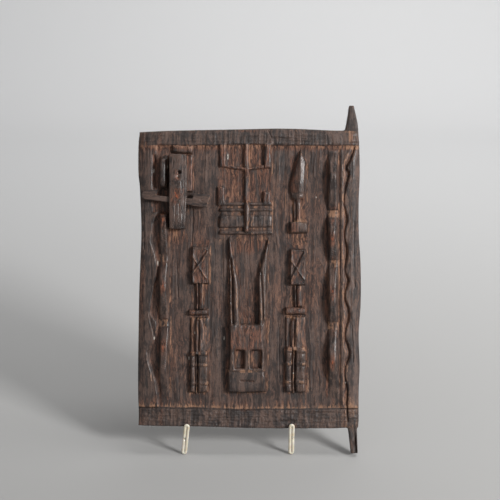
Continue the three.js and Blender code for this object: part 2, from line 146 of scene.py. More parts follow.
def along_u(points: list[Point]) -> Callable[[Array], Array]:
    """A function that gives v for u on a smooth curve that runs across the board."""
    curve = spline(points)
    order = np.argsort(curve[:, 0])
    return lambda u: np.interp(u, curve[order, 0], curve[order, 1])


def inside_box(u: Array, v: Array, left: float, right: float, bottom: float, top: float) -> Array:
    """How far each place lies inside a rectangle, and negative outside it."""
    return np.minimum(np.minimum(u - left, right - u), np.minimum(v - bottom, top - v))


def line_distance(u: Array, v: Array, points: list[Point]) -> Array:
    """How far each place lies from a line of straight stretches.

    Args:
        u: places across.
        v: places up.
        points: the corners of the line.

    Returns:
        The distance, in millimetres.
    """
    nearest = np.full(u.shape, np.inf)
    for (au, av), (bu, bv) in zip(points, points[1:]):
        du, dv = bu - au, bv - av
        share = np.clip(((u - au) * du + (v - av) * dv) / (du * du + dv * dv), 0.0, 1.0)
        nearest = np.minimum(nearest, np.hypot(u - au - share * du, v - av - share * dv))
    return nearest


def inside_outline(u: Array, v: Array, points: list[Point]) -> Array:
    """How far each place lies inside a closed outline, and negative outside it."""
    within = np.zeros(u.shape, bool)
    for (au, av), (bu, bv) in zip(points, points[1:] + points[:1]):
        if av != bv:
            crosses = (av > v) != (bv > v)
            within ^= crosses & (u < (bu - au) * (v - av) / (bv - av) + au)
    distance = line_distance(u, v, points + points[:1])
    return np.where(within, distance, -distance)


def rise_of(inside: Array, height: float | Array, arris: float, wall: float = 0.9) -> Array:
    """How high a carved form stands at a distance in from its foot.

    Args:
        inside: the distance in from the foot.
        height: the full height of the form.
        arris: the radius of its worn arris.
        wall: the width of its steep side.

    Returns:
        The height over the ground, 0 outside the form.
    """
    t = np.clip(inside / (arris + wall), 0.0, 1.0)
    worn = arris * (1.0 - np.sqrt(1.0 - (1.0 - t) ** 2))
    return np.maximum(height - worn, 0.0) * ease(0.0, wall, inside)


# Carving


class Relief:
    """A carved surface as a raster: how high each place is, and how worn or stained."""

    def __init__(self, left: float, right: float, bottom: float, top: float, step: float,
                 level: float, grain: Grain, seed: int) -> None:
        """Lays out an uncarved surface.

        Args:
            left: the lowest u of the raster.
            right: the highest u.
            bottom: the lowest v.
            top: the highest v.
            step: the width of a cell.
            level: how high the uncarved surface is.
            grain: the direction of the fibres.
            seed: where the random numbers start.
        """
        self.left, self.bottom, self.step = left, bottom, step
        self.columns = int(round((right - left) / step)) + 1
        self.rows = int(round((top - bottom) / step)) + 1
        across = left + step * np.arange(self.columns)
        up = bottom + step * np.arange(self.rows)
        self.u, self.v = np.meshgrid(across, up)
        self.height = np.full(self.u.shape, level)
        self.tints = {tint: np.zeros(self.u.shape) for tint in Tint}
        self.grain = grain
        self.random = np.random.default_rng(seed)
        self.cut_u = self.u + 0.26 * self.noise(5.0, 9.0) + 0.1 * self.noise(1.2, 2.5)
        self.cut_v = self.v + 0.26 * self.noise(9.0, 5.0) + 0.1 * self.noise(2.5, 1.2)

    def filtered(self, cells: Array, across: float, up: float) -> Array:
        """A raster smoothed by a bell curve of the given widths, in millimetres."""
        rows, columns = cells.shape
        fu = np.fft.rfftfreq(columns, self.step)
        fv = np.fft.fftfreq(rows, self.step)[:, None]
        weight = np.exp(-2.0 * (math.pi * fu * across) ** 2 - 2.0 * (math.pi * fv * up) ** 2)
        return np.fft.irfft2(np.fft.rfft2(cells) * weight, s=cells.shape)

    def blurred(self, cells: Array, width: float) -> Array:
        """A raster smoothed the same way in all directions."""
        return self.filtered(cells, width, width)

    def noise(self, across: float, along: float) -> Array:
        """Smooth random values about 0, mostly within 2, across and along the fibres."""
        width, length = (across, along) if self.grain is Grain.UP else (along, across)
        cells = self.filtered(self.random.standard_normal(self.u.shape), width, length)
        return cells / cells.std()

    def warped(self, cells: Array, shift_u: Array, shift_v: Array) -> Array:
        """A raster read at places moved by the shifts."""
        return self.at(cells, self.u + shift_u, self.v + shift_v)

    def at(self, cells: Array, u: Array, v: Array) -> Array:
        """The values of a raster at any places, by straight interpolation."""
        x = np.clip((u - self.left) / self.step, 0.0, self.columns - 1.001)
        y = np.clip((v - self.bottom) / self.step, 0.0, self.rows - 1.001)
        i, j = x.astype(int), y.astype(int)
        a, b = x - i, y - j
        low = cells[j, i] * (1 - a) + cells[j, i + 1] * a
        high = cells[j + 1, i] * (1 - a) + cells[j + 1, i + 1] * a
        return low * (1 - b) + high * b

    def window(self, left: float, right: float, bottom: float, top: float) -> tuple[slice, slice]:
        """The cells around a rectangle, with a margin."""
        margin = 4.0
        low_u = int((left - margin - self.left) / self.step)
        high_u = int((right + margin - self.left) / self.step) + 2
        low_v = int((bottom - margin - self.bottom) / self.step)
        high_v = int((top + margin - self.bottom) / self.step) + 2
        return slice(max(low_v, 0), max(high_v, 0)), slice(max(low_u, 0), max(high_u, 0))

    def around(self, points: list[Point]) -> tuple[slice, slice]:
        """The cells around an outline or a line."""
        us, vs = zip(*points)
        return self.window(min(us), max(us), min(vs), max(vs))

    def raise_box(self, left: float, right: float, bottom: float, top: float, height: float,
                  arris: float = 1.0, lean: float = 0.0, ground: float = GROUND) -> None:
        """Leaves a flat-topped form standing.

        Args:
            left: its left side.
            right: its right side.
            bottom: its lower side.
            top: its upper side.
            height: how high it stands over the ground.
            arris: the radius of its worn arris.
            lean: how much higher its right side stands than its left.
            ground: the level that it stands on.
        """
        cells = self.window(left, right, bottom, top)
        u, v = self.cut_u[cells], self.cut_v[cells]
        inside = inside_box(u, v, left, right, bottom, top)
        tilt = lean * ((u - left) / (right - left) - 0.5)
        self.height[cells] = np.maximum(self.height[cells], ground + rise_of(inside, height + tilt, arris))

    def raise_outline(self, points: list[Point], height: float | Callable[[Array, Array], Array],
                      arris: float = 1.0, ground: float = GROUND) -> None:
        """Leaves a form of any outline standing, of one height or of a height that changes."""
        cells = self.around(points)
        u, v = self.cut_u[cells], self.cut_v[cells]
        full = height(u, v) if callable(height) else height
        inside = inside_outline(u, v, points)
        self.height[cells] = np.maximum(self.height[cells], ground + rise_of(inside, full, arris))

    def sink_box(self, left: float, right: float, bottom: float, top: float, floor: float,
                 wall: float = 0.9) -> None:
        """Cuts a rectangle down to a floor."""
        cells = self.window(left, right, bottom, top)
        share = ease(0.0, wall, inside_box(self.cut_u[cells], self.cut_v[cells], left, right, bottom, top))
        here = self.height[cells]
        self.height[cells] = here - np.maximum(here - floor, 0.0) * share

    def groove(self, points: list[Point], width: float, depth: float) -> None:
        """Cuts a narrow round groove along a line."""
        cells = self.around(points)
        away = line_distance(self.cut_u[cells], self.cut_v[cells], points)
        self.height[cells] -= depth * bell(away, width / 2)

    def rib(self, points: list[Point], width: float, height: float) -> None:
        """Leaves a narrow round rib along a line."""
        self.groove(points, width, -height)

    def tint_line(self, tint: Tint, points: list[Point], width: float, strength: float) -> None:
        """Tints a line, broken up along its length."""
        cells = self.around(points)
        away = line_distance(self.cut_u[cells], self.cut_v[cells], points)
        amount = strength * bell(away, width / 2) * self.patchy[cells]
        self.tints[tint][cells] = np.maximum(self.tints[tint][cells], amount)

    def tint_box(self, tint: Tint, left: float, right: float, bottom: float, top: float,
                 strength: float, soft: float = 2.0) -> None:
        """Tints a rectangle with soft sides."""
        cells = self.window(left, right, bottom, top)
        inside = inside_box(self.cut_u[cells], self.cut_v[cells], left, right, bottom, top)
        amount = strength * ease(-soft / 2, soft / 2, inside) * self.patchy[cells]
        self.tints[tint][cells] = np.maximum(self.tints[tint][cells], amount)

    def tint_spot(self, tint: Tint, u: float, v: float, width: float, length: float,
                  strength: float) -> None:
        """Tints an oval spot."""
        cells = self.window(u - width, u + width, v - length, v + length)
        away = np.hypot((self.u[cells] - u) / width, (self.v[cells] - v) / length)
        amount = strength * ease(1.0, 0.45, away * (1.0 + 0.25 * (self.patchy[cells] - 0.8)))
        self.tints[tint][cells] = np.maximum(self.tints[tint][cells], amount)

    def prepare(self) -> None:
        """Makes the patchiness with which stains and rubbed places come and go."""
        broken = self.noise(0.8, 4.5) + 0.7 * self.noise(0.45, 1.2)
        self.patchy = np.clip(0.66 + 0.34 * broken, 0.05, 1.25)

    def weather(self, fibres: float, facets: float) -> None:
        """Wears the arrises, leaves the marks of the tool and opens the grain.

        Args:
            fibres: how deep the open grain is.
            facets: how deep the tool's facets are.
        """
        self.height = self.blurred(self.height, 0.22)
        wide = self.blurred(self.height, 1.1)
        crest = np.maximum(self.height - wide - 0.32, 0.0)
        self.height = self.height - 0.7 * crest
        wander = 1.6 * self.noise(14.0, 30.0)
        streaks = self.warped(self.noise(0.42, 11.0), wander, 0.0)
        threads = self.warped(self.noise(0.30, 3.5), wander, 0.0)
        bands = self.warped(self.noise(1.5, 26.0), wander, 0.0)
        self.fibres = 0.55 * streaks + 0.35 * threads
        open_grain = np.clip(0.6 * self.noise(16.0, 22.0) + 0.9, 0.25, 1.7)
        self.height = (
            self.height
            + fibres * open_grain * (self.fibres + 0.8 * bands)
            + facets * self.noise(3.2, 6.5)
            + 0.5 * facets * self.noise(8.0, 12.0)
        )
        self.settle_tints()

    def settle_tints(self) -> None:
        """Puts reddish wood in hollows, painted shade in corners and a rubbed line on arrises."""
        hollow = self.blurred(self.height, 2.6) - self.height
        corner = self.blurred(self.height, 0.9) - self.height
        sunk = ease(17.7, 16.7, self.blurred(self.height, 1.5)) * np.clip(0.8 + 0.25 * self.noise(6.0, 16.0), 0.2, 1.3)
        tints = self.tints
        tints[Tint.RUDDY] = np.maximum(tints[Tint.RUDDY], 0.42 * sunk)
        tints[Tint.TAN] = np.maximum(tints[Tint.TAN], 0.24 * sunk)
        tints[Tint.RUDDY] = np.maximum(tints[Tint.RUDDY], 0.9 * ease(0.15, 1.5, hollow) * self.patchy)
        tints[Tint.TAN] = np.maximum(tints[Tint.TAN], 0.5 * ease(0.12, 0.6, corner) * self.patchy)
        tints[Tint.TAN] = np.maximum(tints[Tint.TAN], 0.42 * ease(0.2, 0.6, -corner) * self.patchy)
        # painted shade where the surface is hollow in small, as in corners and grooves
        tints[Tint.SHADE] = np.maximum(tints[Tint.SHADE], 0.7 * ease(0.6, 1.5, corner))
        tints[Tint.SHEEN] = np.maximum(tints[Tint.SHEEN], ease(0.1, 0.6, -hollow))
        tints[Tint.CARVED][:] = 1.0
        for tint in tints:
            tints[tint] = np.clip(tints[tint], 0.0, 1.0)


# The motifs of the carved face


@dataclass(frozen=True)
class Margins:
    """The ground of the face: its bands, its left strip, the post on the right and the crack."""

    strip_edge: tuple[Point, ...] = (
        (-96, 15), (-96, 21.5), (-98.5, 44), (-103.5, 62), (-107, 80), (-101, 96), (-98.5, 112),
        (-105, 124), (-101, 150), (-97, 162), (-99.5, 181), (-104, 200), (-101, 222), (-98, 232),
        (-99, 262), (-98, 300), (-98, 320),
    )
    post_edge: tuple[Point, ...] = (
        (104, 15), (104, 21.5), (103, 49), (101.4, 62), (106.6, 78), (105, 88), (102.1, 100),
        (106.6, 121), (102.3, 141.5), (106.1, 156.5), (102.3, 169), (104.8, 189), (101.9, 207.5),
        (104.9, 222.5), (101.2, 243), (106.8, 269.5), (104.4, 277), (110, 290), (113, 300), (113, 320),
    )
    upper_seam: tuple[Point, ...] = ((-122, 301.2), (-60, 301.0), (0, 301.4), (60, 301.0), (122, 300.6))
    lower_seam: tuple[Point, ...] = ((-122, 22.6), (-60, 21.8), (0, 20.4), (60, 20.8), (122, 21.8))
    strip_lines: tuple[tuple[Point, ...], ...] = (
        ((-104.4, 128), (-106, 121), (-105, 113), (-101.7, 102), (-100.6, 94)),
        ((-99, 121), (-97, 113), (-98, 104), (-99.2, 98), (-99.8, 91)),
        ((-107.6, 80), (-106.5, 70), (-103.8, 62), (-102.8, 51)),
        ((-98.6, 47), (-97.4, 40.5), (-96, 33)),
    )
    hollow: tuple[float, float, float, float] = (-103.2, -94.6, 253.0, 292.0)
    crack: tuple[Point, ...] = ((103.6, 47), (104.4, 36), (104.2, 20), (104.6, 7))

    def carve(self, relief: Relief) -> None:
        """Sinks the field between the margins and rounds them off towards the board's edges."""
        u, v = relief.cut_u, relief.cut_v
        strip, post = along_v(list(self.strip_edge)), along_v(list(self.post_edge))
        upper, lower = along_u(list(self.upper_seam)), along_u(list(self.lower_seam))
        from_strip, from_post = u - strip(v), post(v) - u
        from_upper, from_lower = upper(u) - v, v - lower(u)
        side = np.minimum(from_strip, from_post)
        end = np.minimum(from_upper, from_lower)
        sunk = ease(-0.2, 1.3, side) * ease(-0.1, 0.9, end)
        swell = 0.3 * relief.noise(9.0, 20.0)
        margin = FACE - 2.6 * ease(110.0, 119.0, u) - 2.2 * ease(-110.0, -119.0, u)
        margin = margin - 0.9 * ease(2.0, -16.0, from_strip) - 1.6 * ease(311.5, 318.5, v)
        marks = relief.filtered(relief.random.standard_normal(u.shape), 7.0, 0.55)
        band = ease(0.5, -2.0, end)
        margin = margin + 0.20 * band * marks / marks.std()
        dashes = relief.filtered(relief.random.standard_normal(u.shape), 0.9, 0.35)
        margin = margin + 0.16 * ease(0.5, -1.5, from_lower) * dashes / dashes.std()
        strip_level = GROUND + 1.3 * ease(95.6, 97.8, u) * ease(0.0, 2.0, from_post)
        relief.height = margin + (strip_level + swell - margin) * sunk
        bay = ease(101.6, 105.4, post(v))
        width = 1.5 + 3.4 * bay
        scoop = ease(width, 0.2, from_post) ** 1.4 * ease(-0.6, 0.1, from_post)
        relief.height -= (1.1 + 1.5 * bay) * scoop * ease(0.0, 4.0, end)
        relief.height += 0.35 * bell(from_post - width - 0.6, 1.4) * ease(0.0, 4.0, end)
        relief.height -= 0.7 * ease(6.0, 0.3, from_strip) * ease(-1.0, 0.3, from_strip) * ease(0.0, 4.0, end)
        relief.height -= 0.25 * bell(from_upper - 0.1, 0.9)
        relief.height -= 1.5 * bell(from_lower + 0.3, 1.0)
        relief.height -= 1.1 * ease(6.0, 1.0, from_upper) * ease(-0.3, 0.6, from_upper) * ease(60.0, 100.0, u)
        left, right, bottom, top = self.hollow
        relief.sink_box(left, right, bottom, top, GROUND - 2.0, wall=4.0)
        for line in self.strip_lines:
            relief.groove(list(line), 2.6, 0.7)
            relief.rib([(a - 1.5, b) for a, b in line], 1.8, 0.4)
        relief.groove(list(self.crack), 1.1, 4.2)
        self.stain(relief, from_post - width, from_strip, from_upper, from_lower)

    def stain(self, relief: Relief, from_post: Array, from_strip: Array, from_upper: Array,
              from_lower: Array) -> None:
        """Tints the seams, the two scalloped edges and the strips beside them.

        Args:
            relief: the carved face.
            from_post: how far each place lies left of the scooped edge of the post.
            from_strip: how far it lies right of the left strip.
            from_upper: how far it lies under the upper band.
            from_lower: how far it lies over the lower band.
        """
        tints, patchy = relief.tints, relief.patchy
        tints[Tint.TAN] += 0.6 * bell(from_post - 0.6, 1.5) * patchy * ease(2.0, 6.0, from_lower)
        tints[Tint.TAN] += 0.3 * ease(-9.0, 1.0, from_post) * ease(9.0, 4.0, from_post) * (relief.u > 97.5)
        tints[Tint.RUDDY] += 0.9 * bell(from_post + 1.4, 2.4)
        tints[Tint.RUDDY] += 0.55 * bell(from_strip - 3.0, 4.5)
        tints[Tint.TAN] += 0.35 * bell(from_strip + 0.4, 1.1) * patchy
        tints[Tint.RUDDY] += 1.0 * ease(8.5, 2.2, from_upper) * ease(-0.2, 0.8, from_upper)
        tints[Tint.TAN] += 0.62 * ease(6.0, 3.2, from_upper) * ease(-0.2, 0.5, from_upper) * (0.6 + 0.4 * patchy)
        tints[Tint.RUDDY] += 0.6 * ease(19.0, 3.0, from_lower) * ease(-0.2, 0.8, from_lower) * patchy
        tints[Tint.TAN] += 0.35 * ease(16.0, 2.0, from_lower) * ease(-0.1, 0.7, from_lower) * patchy
        tints[Tint.TAN] += 0.6 * ease(4.4, 0.8, from_lower) * ease(-0.1, 0.7, from_lower) * (0.5 + 0.5 * patchy)
        # painted shade: a dark line in the groove along the lower seam, and a faint one along the upper seam
        tints[Tint.SHADE] += 1.0 * bell(from_lower + 0.5, 1.0) + 0.1 * bell(from_upper + 0.2, 1.0)
        tints[Tint.TAN] += 0.12 * ease(0.5, -1.0, from_lower) + 0.3 * ease(312.0, 316.0, relief.v) * patchy
        tints[Tint.TAN] += 0.3 * bell(from_upper - 1.6, 2.4) * patchy * ease(100.0, 106.0, relief.u)
        greyed = ease(0.0, -3.0, from_post)
        tints[Tint.RUDDY] *= 1.0 - 0.5 * greyed
        tints[Tint.TAN] += 0.26 * greyed
        left, right, bottom, top = self.hollow
        relief.tint_box(Tint.RUDDY, left, right, bottom, top, 1.0, 5.0)
        # painted shade in the crack
        relief.tint_line(Tint.SHADE, list(self.crack), 1.6, 1.3)
        for line in self.strip_lines:
            relief.tint_line(Tint.TAN, [(a - 0.9, b) for a, b in line], 1.8, 0.6)


@dataclass(frozen=True)
class Zigzag:
    """A high ridge that rises and falls in peaks along the grain."""

    left: float
    right: float
    crest: tuple[Point, ...]
    peaks: tuple[float, ...]
    valleys: tuple[float, ...]
    bevel: float = 2.0

    def carve(self, relief: Relief) -> None:
        """Leaves the ridge standing, with its right flank bevelled and cuts across its valleys."""
        vs, heights = zip(*self.crest)
        cells = relief.window(self.left, self.right, min(vs), max(vs))
        u, v = relief.cut_u[cells], relief.cut_v[cells]
        fine = np.linspace(min(vs), max(vs), 600)
        tall = np.interp(fine, vs, heights)
        soft = np.convolve(np.pad(tall, 6, "edge"), np.ones(13) / 13, "valid")
        full = np.interp(v, fine, soft)
        place = np.clip((u - self.left) / (self.right - self.left), 0.0, 1.0)
        saddle = ease(8.0, 4.6, full)
        top = full * (1.0 - 0.68 * saddle * (1.0 - place) ** 1.3)
        bevel = self.bevel + 0.30 * np.clip(full - 4.0, 0.0, 8.0)
        from_left, from_right = u - self.left, self.right - u
        slope = np.clip((from_right - 0.5) / bevel, 0.0, 1.0)
        top = top * (0.52 + 0.48 * slope ** 0.8)
        steep = ease(0.0, 0.8, np.minimum(from_left, from_right))
        worn = 0.8 * (1.0 - ease(0.2, 2.2, from_left))
        ends = ease(-0.6, 5.0, np.minimum(v - min(vs), max(vs) - v))
        for valley in self.valleys:
            flat = ease(4.6, 3.6, np.abs(v - valley))
            top = top - 0.8 * flat
        for peak in self.peaks:
            near = ease(-27.0, -22.0, v - peak) * ease(-8.0, -12.0, v - peak)
            top = top + 0.26 * near * np.sin(2 * math.pi * (v + 0.4 * u) / 2.3)
        relief.height[cells] = np.maximum(relief.height[cells], GROUND + (top - worn) * steep * ends)
        self.stain(relief)

    def stain(self, relief: Relief) -> None:
        """Wears the peaks through to orange red and the valleys to tan, paints a highlight down the right arris under
        each peak and shade along the upper step of each valley, and lines the right foot.
        """
        middle = (self.left + self.right) / 2 - 1.0
        bottom, top = self.crest[0][0], self.crest[-1][0]
        for peak in self.peaks:
            relief.tint_spot(Tint.EMBER, middle, peak, 1.9, 4.2, 0.72)
            relief.tint_spot(Tint.RUDDY, middle, peak, 4.6, 12.0, 0.9)
            # painted highlight: a pale line down the lit right arris under each peak
            relief.tint_line(Tint.PALE, [(self.right - 3.6, peak - 1), (self.right - 2.0, peak - 14)], 1.3, 0.62)
            for drop in (11.0, 15.0, 19.5, 23.0):
                relief.tint_spot(Tint.PALE, middle + 1.6, peak - drop, 1.3, 0.8, 0.34)
        for valley in self.valleys:
            relief.tint_box(Tint.TAN, self.left, self.right, valley - 4.2, valley + 4.2, 0.95, 1.0)
            relief.tint_box(Tint.RUDDY, self.left, self.right, valley - 11.0, valley + 9.0, 0.7, 8.0)
            # painted shade along the step at the upper end of each valley cut
            relief.tint_box(Tint.SHADE, self.left, self.right, valley + 4.2, valley + 5.4, 0.8, 0.8)
        relief.tint_line(Tint.TAN, [(self.right + 0.7, top - 2), (self.right + 0.9, bottom + 2)], 2.6, 0.8)
        relief.tint_line(Tint.TAN, [(self.right - 0.7, top - 2), (self.right - 0.7, bottom + 2)], 1.4, 0.5)
        relief.tint_line(Tint.RUDDY, [(self.left - 1.5, top - 4), (self.left - 1.5, bottom + 4)], 5.0, 1.0)


@dataclass(frozen=True)
class CrossFigure:
    """The flat figure in the middle above: a cross over a banded body with a long nose."""

    height: float = 3.6
    bars: tuple[tuple[float, float, float, float], ...] = (
        (-31.8, -23.8, 277, 303), (15.4, 23.6, 275, 303), (-5.4, 0.4, 240, 303),
        (-33.6, -25, 237, 257), (14.4, 23.6, 237, 252.5), (-33.6, 25, 236.2, 240.4),
        (-31.4, 25, 230.2, 234), (-31.4, 25, 213.4, 227), (-31.4, 25, 205.6, 210.2),
    )
    arms: tuple[Point, ...] = (
        (-29, 281.2), (-5, 277.2), (0, 277.0), (16, 280.0), (16, 275.0), (-4.6, 273.6), (-17, 275.0), (-29, 277.2),
    )
    body: tuple[float, float, float, float] = (-30, 23.6, 206.5, 238)
    nose: tuple[Point, ...] = (
        (-3.8, 243), (-2.2, 243), (1.9, 233), (0.8, 222), (-0.4, 216.5), (1.0, 211.5), (0.2, 208), (-4.6, 208),
        (-5.4, 211.5), (-4.2, 216.5), (-5.0, 222), (-6.0, 233),
    )

    def carve(self, relief: Relief) -> None:
        """Leaves the bars, the arms, the body and the nose standing."""
        relief.raise_box(*self.body, 1.2, 0.4)
        for bar in self.bars:
            relief.raise_box(*bar, self.height, 0.9, lean=-0.3)
        relief.raise_outline(list(self.arms), self.height, 0.7)
        relief.raise_outline(list(self.nose), lambda u, v: 7.5 - 0.35 * np.abs(u + 2.4), 1.6)
        relief.sink_box(-3.4, 0.2, 242.0, 268.0, GROUND + 3.0, wall=1.6)
        self.stain(relief)

    def stain(self, relief: Relief) -> None:
        """Tints the panels between the bars, the grooves of the body and the ground under it."""
        relief.tint_box(Tint.TAN, -24.4, 15.6, 240.5, 301.0, 0.36)
        relief.tint_box(Tint.RUDDY, -32.0, 24.0, 240.0, 301.0, 1.2, 4.0)
        relief.tint_box(Tint.TAN, -24.0, -6.0, 241.0, 250.0, 0.55, 4.0)
        relief.tint_box(Tint.TAN, 0.8, 14.0, 241.0, 252.0, 0.5, 4.0)
        for low, high in ((234.2, 236.0), (227.4, 229.6), (210.6, 213.0)):
            relief.tint_box(Tint.TAN, -29.5, -7.0, low, high, 0.85, 0.8)
            relief.tint_box(Tint.TAN, 1.5, 23.0, low, high, 0.85, 0.8)
        relief.tint_spot(Tint.PALE, -22.0, 228.6, 6.0, 1.0, 0.35)
        relief.tint_box(Tint.TAN, -26.5, 25.0, 199.0, 205.0, 0.6, 2.0)
        relief.tint_box(Tint.RUDDY, -24.0, 22.0, 186.0, 205.0, 0.9, 9.0)
        relief.tint_box(Tint.TAN, 2.0, 5.0, 206.0, 238.0, 0.6, 1.0)
        relief.tint_line(Tint.TAN, [(24.6, 302), (24.6, 258)], 2.0, 0.9)
        relief.tint_line(Tint.TAN, [(25.2, 266), (25.2, 206)], 2.2, 0.95)
        relief.tint_line(Tint.TAN, [(-23.4, 256), (-23.4, 242)], 1.8, 0.8)
        relief.tint_line(Tint.TAN, [(0.6, 300), (0.6, 246)], 1.4, 0.7)
        relief.tint_line(Tint.TAN, [(-32.6, 256.6), (-25.6, 256.6)], 1.4, 0.8)
        relief.tint_line(Tint.RUDDY, [(-4.8, 238), (-5.2, 210)], 2.6, 0.9)
        relief.tint_line(Tint.TAN, [(-1.4, 227), (-0.6, 210)], 1.8, 0.9)
        relief.tint_spot(Tint.EMBER, -2.2, 211.0, 2.2, 2.6, 0.5)


@dataclass(frozen=True)
class HornedMask:
    """The mask in the middle below, with its two long horns, its sunk eyes and its muzzle."""

    brow: tuple[float, float, float, float] = (-21.6, 18.4, 61, 111.6)
    eyes: tuple[tuple[float, float, float, float], ...] = ((-15.4, -4.6, 64, 84), (1.2, 13.3, 64, 84))
    eye_floor: float = GROUND + 3.4
    muzzle: tuple[float, float, float, float] = (-22.6, 18, 38.4, 60.6)
    horn_left: tuple[Point, ...] = (
        (-20.6, 203.5), (-19, 199), (-12.6, 163), (-10, 142), (-9.2, 110), (-20, 110), (-21.6, 175),
        (-22.6, 200),
    )
    horn_right: tuple[Point, ...] = (
        (21, 203.8), (21.6, 199), (19.4, 160), (18.4, 110), (10, 110), (9.2, 132), (9.6, 158.6), (19, 198),
    )

    @staticmethod
    def horn_height(u: Array, v: Array) -> Array:
        """The horns sink towards their tips."""
        return np.interp(v, [110.0, 204.0], [8.6, 4.4])

    def carve(self, relief: Relief) -> None:
        """Leaves the horns and the head standing, and cuts the eyes, the mouth and the grooves."""
        relief.raise_outline(list(self.horn_left), self.horn_height, 1.0)
        relief.raise_outline(list(self.horn_right), self.horn_height, 1.1)
        relief.groove([(-19.6, 180), (-18.2, 165), (-17.2, 140), (-16.6, 112)], 3.2, 4.6)
        relief.groove([(13.0, 166), (14.0, 140), (14.8, 112)], 2.6, 2.2)
        relief.raise_box(*self.brow, 9.0, 1.4, lean=-0.5)
        for eye in self.eyes:
            relief.sink_box(*eye, self.eye_floor, wall=1.3)
        relief.raise_box(self.muzzle[0], self.muzzle[1], 56.0, 64.0, 7.4, 1.0)
        relief.raise_box(*self.muzzle, 8.0, 1.3)
        relief.groove([(-8.4, 51.4), (4.6, 50.6)], 2.2, 1.8)
        left, right, bottom, top = self.brow
        cells = relief.window(left, right, bottom, top)
        bevel = GROUND + 9.0 - 0.95 * np.clip(relief.cut_u[cells] - right + 4.6, 0.0, 5.0)
        relief.height[cells] = np.minimum(relief.height[cells], bevel)
        self.stain(relief)

    def stain(self, relief: Relief) -> None:
        """Reddens the brow, paints a highlight down its right bevel, tans the ledge under the eyes and lines the horns
        and the right foot.
        """
        relief.tint_box(Tint.RUDDY, -20.0, 13.0, 84.0, 110.0, 1.3, 5.0)
        for u in (-15.5, -9.0, 1.4, 4.6, 9.8):
            relief.tint_line(Tint.EMBER, [(u, 105), (u + 0.6, 90)], 1.8, 0.55)
        # painted highlight down the brow's right bevel, which faces the light
        relief.tint_line(Tint.PALE, [(15.6, 106), (16.2, 88), (16.6, 66)], 2.6, 0.36)
        relief.tint_line(Tint.TAN, [(-18.2, 84), (-17.4, 65)], 2.4, 0.8)
        relief.tint_line(Tint.TAN, [(-0.6, 84), (-0.2, 65)], 1.8, 0.8)
        for left, right, bottom, top in self.eyes:
            relief.tint_box(Tint.TAN, left + 0.4, left + 5.0, bottom, top - 4.0, 0.62, 3.0)
            relief.tint_box(Tint.RUDDY, left, right, bottom, top, 0.7, 2.0)
        relief.tint_box(Tint.TAN, -22.0, 17.0, 59.8, 63.2, 1.0, 1.0)
        relief.tint_line(Tint.TAN, [(-8.4, 52.6), (-3.0, 52.8)], 1.2, 0.8)
        relief.tint_line(Tint.TAN, [(20.9, 202), (20.6, 150), (21.0, 90), (20.2, 40)], 3.0, 1.0)
        relief.tint_line(Tint.TAN, [(-21.4, 166), (-20.6, 140), (-19.0, 112)], 1.6, 0.95)
        relief.tint_line(Tint.TAN, [(-19.4, 176), (-14.4, 156), (-12.4, 134), (-12.8, 112)], 2.0, 0.95)
        relief.tint_line(Tint.TAN, [(13.2, 178), (12.0, 160), (12.0, 140), (12.8, 112)], 1.5, 0.95)
        relief.tint_line(Tint.TAN, [(-22.6, 38.0), (18.0, 38.0)], 1.4, 0.9)
        relief.tint_box(Tint.RUDDY, -8.0, 8.0, 112.0, 124.0, 0.9, 6.0)
        relief.tint_line(Tint.TAN, [(-36.8, 201), (-36.8, 198), (-28.0, 200.5)], 1.6, 0.7)


